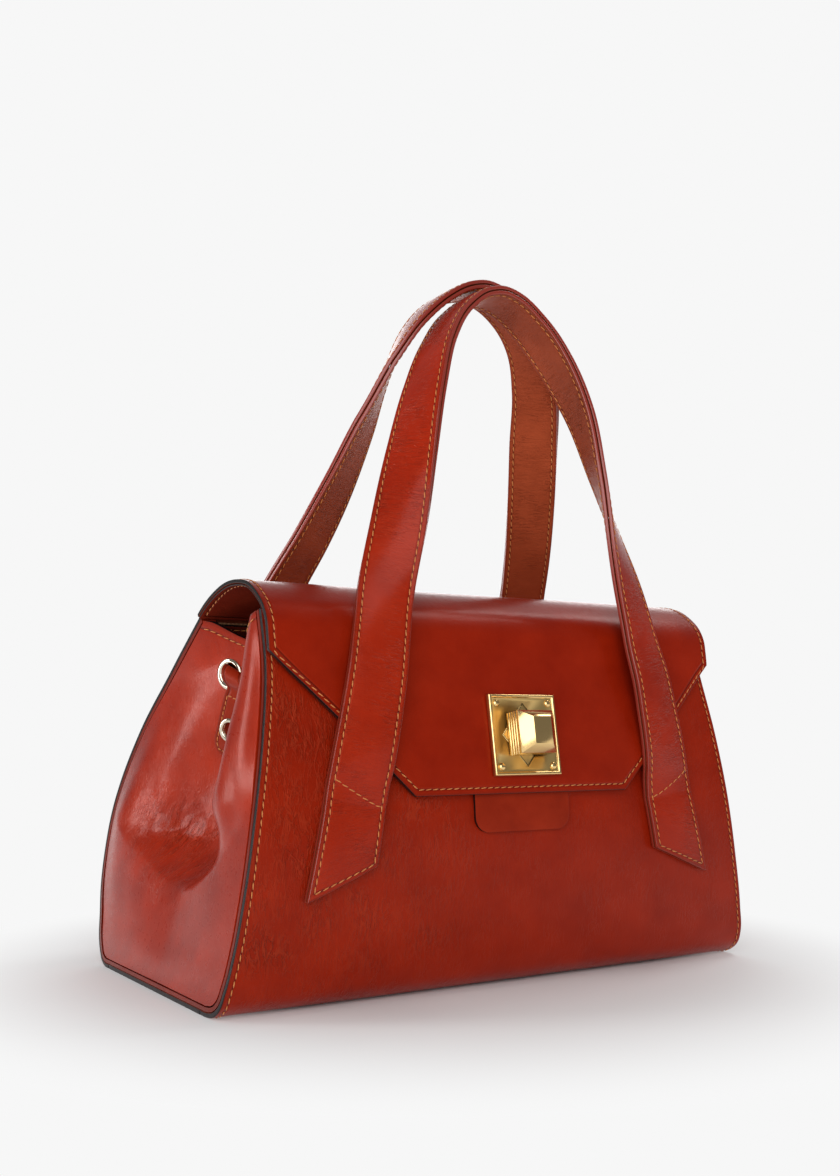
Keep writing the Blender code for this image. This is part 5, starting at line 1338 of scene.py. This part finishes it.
def build_lock():
    """Plate, rivets, knob and receiver of the turn lock."""
    place = lock_place()
    plate_top = GAP + LOCK_PLATE_THICKNESS
    full = LOCK_PLATE_THICKNESS + LOCK_RIM_HEIGHT
    plate = block((LOCK_PLATE_SIZE, LOCK_PLATE_SIZE, full), (0.0, 0.0, GAP + full / 2.0))
    select_faces(plate, lambda polygon: polygon.normal.z > 0.9)
    bpy.ops.mesh.inset(thickness=LOCK_RIM_WIDTH)
    bpy.ops.mesh.inset(thickness=0.25 * MM)
    bpy.ops.transform.translate(value=(0.0, 0.0, -LOCK_RIM_HEIGHT))
    bpy.ops.object.mode_set(mode="OBJECT")
    rim_level = plate_top + LOCK_RIM_HEIGHT / 2.0
    select_faces(plate, lambda polygon: polygon.normal.z > 0.9 and polygon.center.z > rim_level)
    bpy.ops.mesh.region_to_loop()
    bpy.ops.mesh.bevel(offset=RIM_BEAD, segments=4, affect="EDGES")
    bpy.ops.object.mode_set(mode="OBJECT")
    soften(plate, 0.3 * MM)

    # A lozenge engraved as one dark line round the knob
    groove = new_shape(
        bpy.ops.mesh.primitive_cylinder_add, vertices=4, radius=1.0, depth=2.0 * LOZENGE_DEPTH)
    groove.data.transform(at_size((0.0, 0.0, plate_top), (LOZENGE_HALF_WIDTH, LOZENGE_HALF_HEIGHT, 1.0)))
    shrink = 1.0 - LOZENGE_LINE / LOZENGE_HALF_WIDTH
    island = groove.copy()
    island.data = groove.data.copy()
    bpy.context.scene.collection.objects.link(island)
    island.data.transform(Matrix.Diagonal((shrink, shrink, 1.0, 1.0)))
    cut_away(groove, island)
    cut_away(plate, groove)
    cut_away(plate, drill(Matrix(), BORE_RADIUS, 6.0 * MM))
    for polygon in plate.data.polygons:
        x, y, z = polygon.center
        spread = abs(x) / LOZENGE_HALF_WIDTH + abs(y) / LOZENGE_HALF_HEIGHT
        if z > plate_top + 0.1 * MM:
            polygon.material_index = 2
        elif shrink - 0.02 < spread < 1.02 and plate_top - 0.6 * MM < z < plate_top - 0.05 * MM:
            polygon.material_index = 1
    plate.data.transform(place)
    bpy.ops.object.shade_smooth_by_angle(angle=math.radians(40.0))
    settle(plate, "lock_plate_metal", [satin_gold, patina, gold], "flap", "gold", "lock_plate")

    # Rivets: a low dome on each corner of the plate, and the plate behind the lining
    corner = LOCK_PLATE_SIZE / 2.0 - RIVET_INSET
    heads = []
    for x in (-corner, corner):
        for y in (-corner, corner):
            head = new_shape(bpy.ops.mesh.primitive_uv_sphere_add, segments=28, ring_count=14, radius=1.0)
            select_faces(head, lambda polygon: polygon.center.z < -0.2)
            bpy.ops.mesh.delete(type="VERT")
            bpy.ops.mesh.select_all(action="SELECT")
            bpy.ops.mesh.select_mode(type="EDGE")
            bpy.ops.mesh.select_all(action="DESELECT")
            bpy.ops.mesh.select_non_manifold()
            bpy.ops.mesh.edge_face_add()
            bpy.ops.object.mode_set(mode="OBJECT")
            head.data.transform(at_size(
                (x, y, plate_top), (RIVET_HEAD_RADIUS, RIVET_HEAD_RADIUS, RIVET_HEAD_HEIGHT)))
            heads.append(head)
    behind = -(FLAP_THICKNESS + GAP + LINING_THICKNESS / 2.0)
    heads.append(block((*BACKING_PLATE, LINING_THICKNESS), (0.0, 0.0, behind - 0.45 * MM)))
    rivets = join(heads)
    rivets.data.transform(place)
    bpy.ops.object.shade_smooth_by_angle(angle=math.radians(40.0))
    settle(rivets, "lock_rivets", [gold], "flap", "gold", "lock_backing_plate")

    # Knob: a square block with reeded sides under a crown that narrows to its face
    bottom = plate_top + GAP
    knob = block((KNOB_SIZE, KNOB_SIZE, KNOB_BLOCK_HEIGHT), (0.0, 0.0, bottom + KNOB_BLOCK_HEIGHT / 2.0))
    select_faces(knob, lambda polygon: polygon.normal.z > 0.9)
    bpy.ops.mesh.extrude_region_move(TRANSFORM_OT_translate={"value": (0.0, 0.0, KNOB_CROWN_HEIGHT)})
    bpy.ops.transform.resize(value=(KNOB_FACE_WIDTH / KNOB_SIZE, KNOB_FACE_HEIGHT / KNOB_SIZE, 1.0))
    bpy.ops.object.mode_set(mode="OBJECT")
    band = KNOB_BLOCK_HEIGHT / (KNOB_REEDS + 1)
    for side in (-1.0, 1.0):
        for k in range(KNOB_REEDS):
            level = bottom + band * (k + 1)
            flute = new_shape(
                bpy.ops.mesh.primitive_cylinder_add, vertices=16, radius=KNOB_REED_RADIUS,
                depth=KNOB_SIZE * 1.2)
            flute.data.transform(Matrix.Translation((side * (KNOB_SIZE / 2.0 + 0.1 * MM), 0.0, level))
                                 @ Matrix.Rotation(math.pi / 2.0, 4, "X"))
            cut_away(knob, flute)
    soften(knob, 0.4 * MM)
    knob.data.transform(place)
    settle(knob, "lock_knob_metal", [gold], "lock_knob", "gold", "lock_knob")

    for node in ("lock_spindle", "lock_latch_bar", "receiver_plate", "receiver_backplate"):
        dress(node, gold)


def build_patch():
    """The leather patch under the tongue, with round lower corners and a slot for the receiver."""
    start = float(front.at_height(PATCH_BOTTOM))
    end = float(front.at_height(PATCH_TOP))
    lengths = np.concatenate([start + PATCH_CORNER * (1.0 - np.cos(np.linspace(0.0, math.pi / 2.0, 16)[:-1])),
                              np.linspace(start + PATCH_CORNER, end, 50)])
    drop = np.clip(1.0 - (lengths - start) / PATCH_CORNER, 0.0, 1.0)
    reach = PATCH_HALF_WIDTH - PATCH_CORNER * (1.0 - np.sqrt(np.maximum(1.0 - drop**2, 0.0)))
    x = reach[:, None] * edge_spread(41, 0.5)[None, :]
    s = np.broadcast_to(lengths[:, None], x.shape)
    edge = np.minimum(reach[:, None] - np.abs(x), s - start)
    sheet = laid_sheet(front.at(x, s, GAP + PATCH_THICKNESS), np.stack([x, s], axis=-1), {"edge": edge},
                       PATCH_THICKNESS, PATCH_RIM, (0.0, -1.0, 0.0))
    settle(sheet, "lock_patch_leather", [patch_calf, flesh_side, edge_paint],
           "bag", "leather_smooth", "lock_patch")
    length = SLOT_LENGTH + 2.0 * RECEIVER_MARGIN
    cut_away(sheet, block((RECEIVER_WIDTH + 2.0 * GAP, length + 2.0 * GAP, CUTTER_DEPTH),
                          (0.0, SLOT_RISE / 2.0, -CUTTER_DEPTH / 2.0), lock_place()))


def dress(node, material):
    """Give a CAD piece that stays its finish."""
    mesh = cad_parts[node].data
    mesh.materials.clear()
    mesh.materials.append(material)


def build_stage():
    """A pale sweep under the bag, soft boxes round it, and the studio that its surfaces mirror."""
    floor = new_shape(bpy.ops.mesh.primitive_plane_add, size=8.0)
    floor.name = "floor"
    material, shader = new_material("pale_sweep")
    spot = add_node(material, "ShaderNodeTexCoord").outputs["Object"]
    away = add_node(material, "ShaderNodeVectorMath", {0: spot}, operation="LENGTH")
    fade = add_node(material, "ShaderNodeMapRange", {
        "Value": away.outputs["Value"], "From Min": FLOOR_FADE[0], "From Max": FLOOR_FADE[1]},
        interpolation_type="SMOOTHSTEP")
    white = (BACKDROP, BACKDROP, BACKDROP, 1.0)
    feed(material, shader, {"Base Color": white, "Roughness": 0.9, "Specular IOR Level": 0.0})
    glow = add_node(material, "ShaderNodeEmission", {"Color": white, "Strength": 1.0})
    blend = add_node(material, "ShaderNodeMixShader", {
        0: fade.outputs["Result"], 1: shader.outputs[0], 2: glow.outputs[0]})
    feed(material, material.node_tree.nodes["Material Output"], {"Surface": blend.outputs[0]})
    floor.data.materials.append(material)

    # White to the camera, white on the backdrop's side and dim towards the room in mirrors, and
    # an even fill on everything else
    world = bpy.data.worlds.new("studio")
    world.use_nodes = True
    bpy.context.scene.world = world
    toward = add_node(world, "ShaderNodeTexCoord").outputs["Generated"]
    behind = add_node(
        world, "ShaderNodeVectorMath", {0: toward, 1: BACKDROP_DIRECTION}, operation="DOT_PRODUCT")
    mirrored = add_node(world, "ShaderNodeMapRange", {
        "Value": behind.outputs["Value"], "From Min": BACKDROP_EDGE[0], "From Max": BACKDROP_EDGE[1],
        "To Min": ROOM, "To Max": BACKDROP}, interpolation_type="SMOOTHSTEP")
    path = add_node(world, "ShaderNodeLightPath")
    level = add_node(world, "ShaderNodeMix", {
        "Factor": path.outputs["Is Glossy Ray"], "A": FILL, "B": mirrored.outputs["Result"]})
    seen = add_node(world, "ShaderNodeMath", {
        0: path.outputs["Is Camera Ray"], 1: path.outputs["Is Transmission Ray"]}, operation="MAXIMUM")
    level = add_node(world, "ShaderNodeMix", {
        "Factor": seen.outputs[0], "A": level.outputs["Result"], "B": BACKDROP})
    feed(world, world.node_tree.nodes["Background"], {
        "Color": (1.0, 1.0, 1.0, 1.0), "Strength": level.outputs["Result"]})

    for name, location, size, power in SOFT_BOXES:
        light = bpy.data.lights.new(name, "AREA")
        light.shape = "RECTANGLE"
        light.size, light.size_y = size
        light.energy = power
        lamp = bpy.data.objects.new(name, light)
        lamp.location = location
        lamp.rotation_euler = (Vector(LAMPS_AIM) - Vector(location)).to_track_quat("-Z", "Y").to_euler()
        bpy.context.scene.collection.objects.link(lamp)


build_panels()
build_base()
build_facings()
for side_name, side_sign in SIDES:
    build_gusset(side_name, side_sign)
    build_cinch_strap(side_name, side_sign)
    for end_name, end_place, tab_place in (("front", EYELET_FRONT_PLACE, TAB_FRONT_PLACE),
                                            ("back", EYELET_BACK_PLACE, TAB_BACK_PLACE)):
        eyelet(f"{side_name}_{end_name}_gusset_ring", gusset_frame(side_sign, end_place, EYELET_HEIGHT),
               EYELET_HOLE, EYELET_FLANGE, 0.0, -GUSSET_THICKNESS, f"{side_name}_{end_name}_gusset_eyelet")
        eyelet(f"{side_name}_{end_name}_tab_ring", tab_frame(side_sign, tab_place, TAB_EYELET_HEIGHT),
               TAB_EYELET_HOLE, TAB_EYELET_FLANGE, TAB_THICKNESS / 2.0, -TAB_THICKNESS / 2.0,
               f"{side_name}_{end_name}_tab_eyelet")
build_handle("front", front, FRONT_FOLD_HEIGHT, FRONT_HANDLE_RISE, FRONT_HANDLE_REACH,
             FRONT_HANDLE, FRONT_TWIST, -1.0)
build_handle("back", back, BACK_FOLD_HEIGHT, BACK_HANDLE_RISE, BACK_HANDLE_REACH,
             BACK_HANDLE, BACK_TWIST, 1.0)
build_flap()
build_hinge()
build_patch()
build_lock()
for node in ("left_welt", "right_welt"):
    dress(node, welt_calf)
for node in ("front_lining", "back_lining", "base_lining"):
    dress(node, cotton)
dress("base_stiffener_board", fibre_board)
build_stage()

bpy.context.scene.view_settings.view_transform = "Standard"
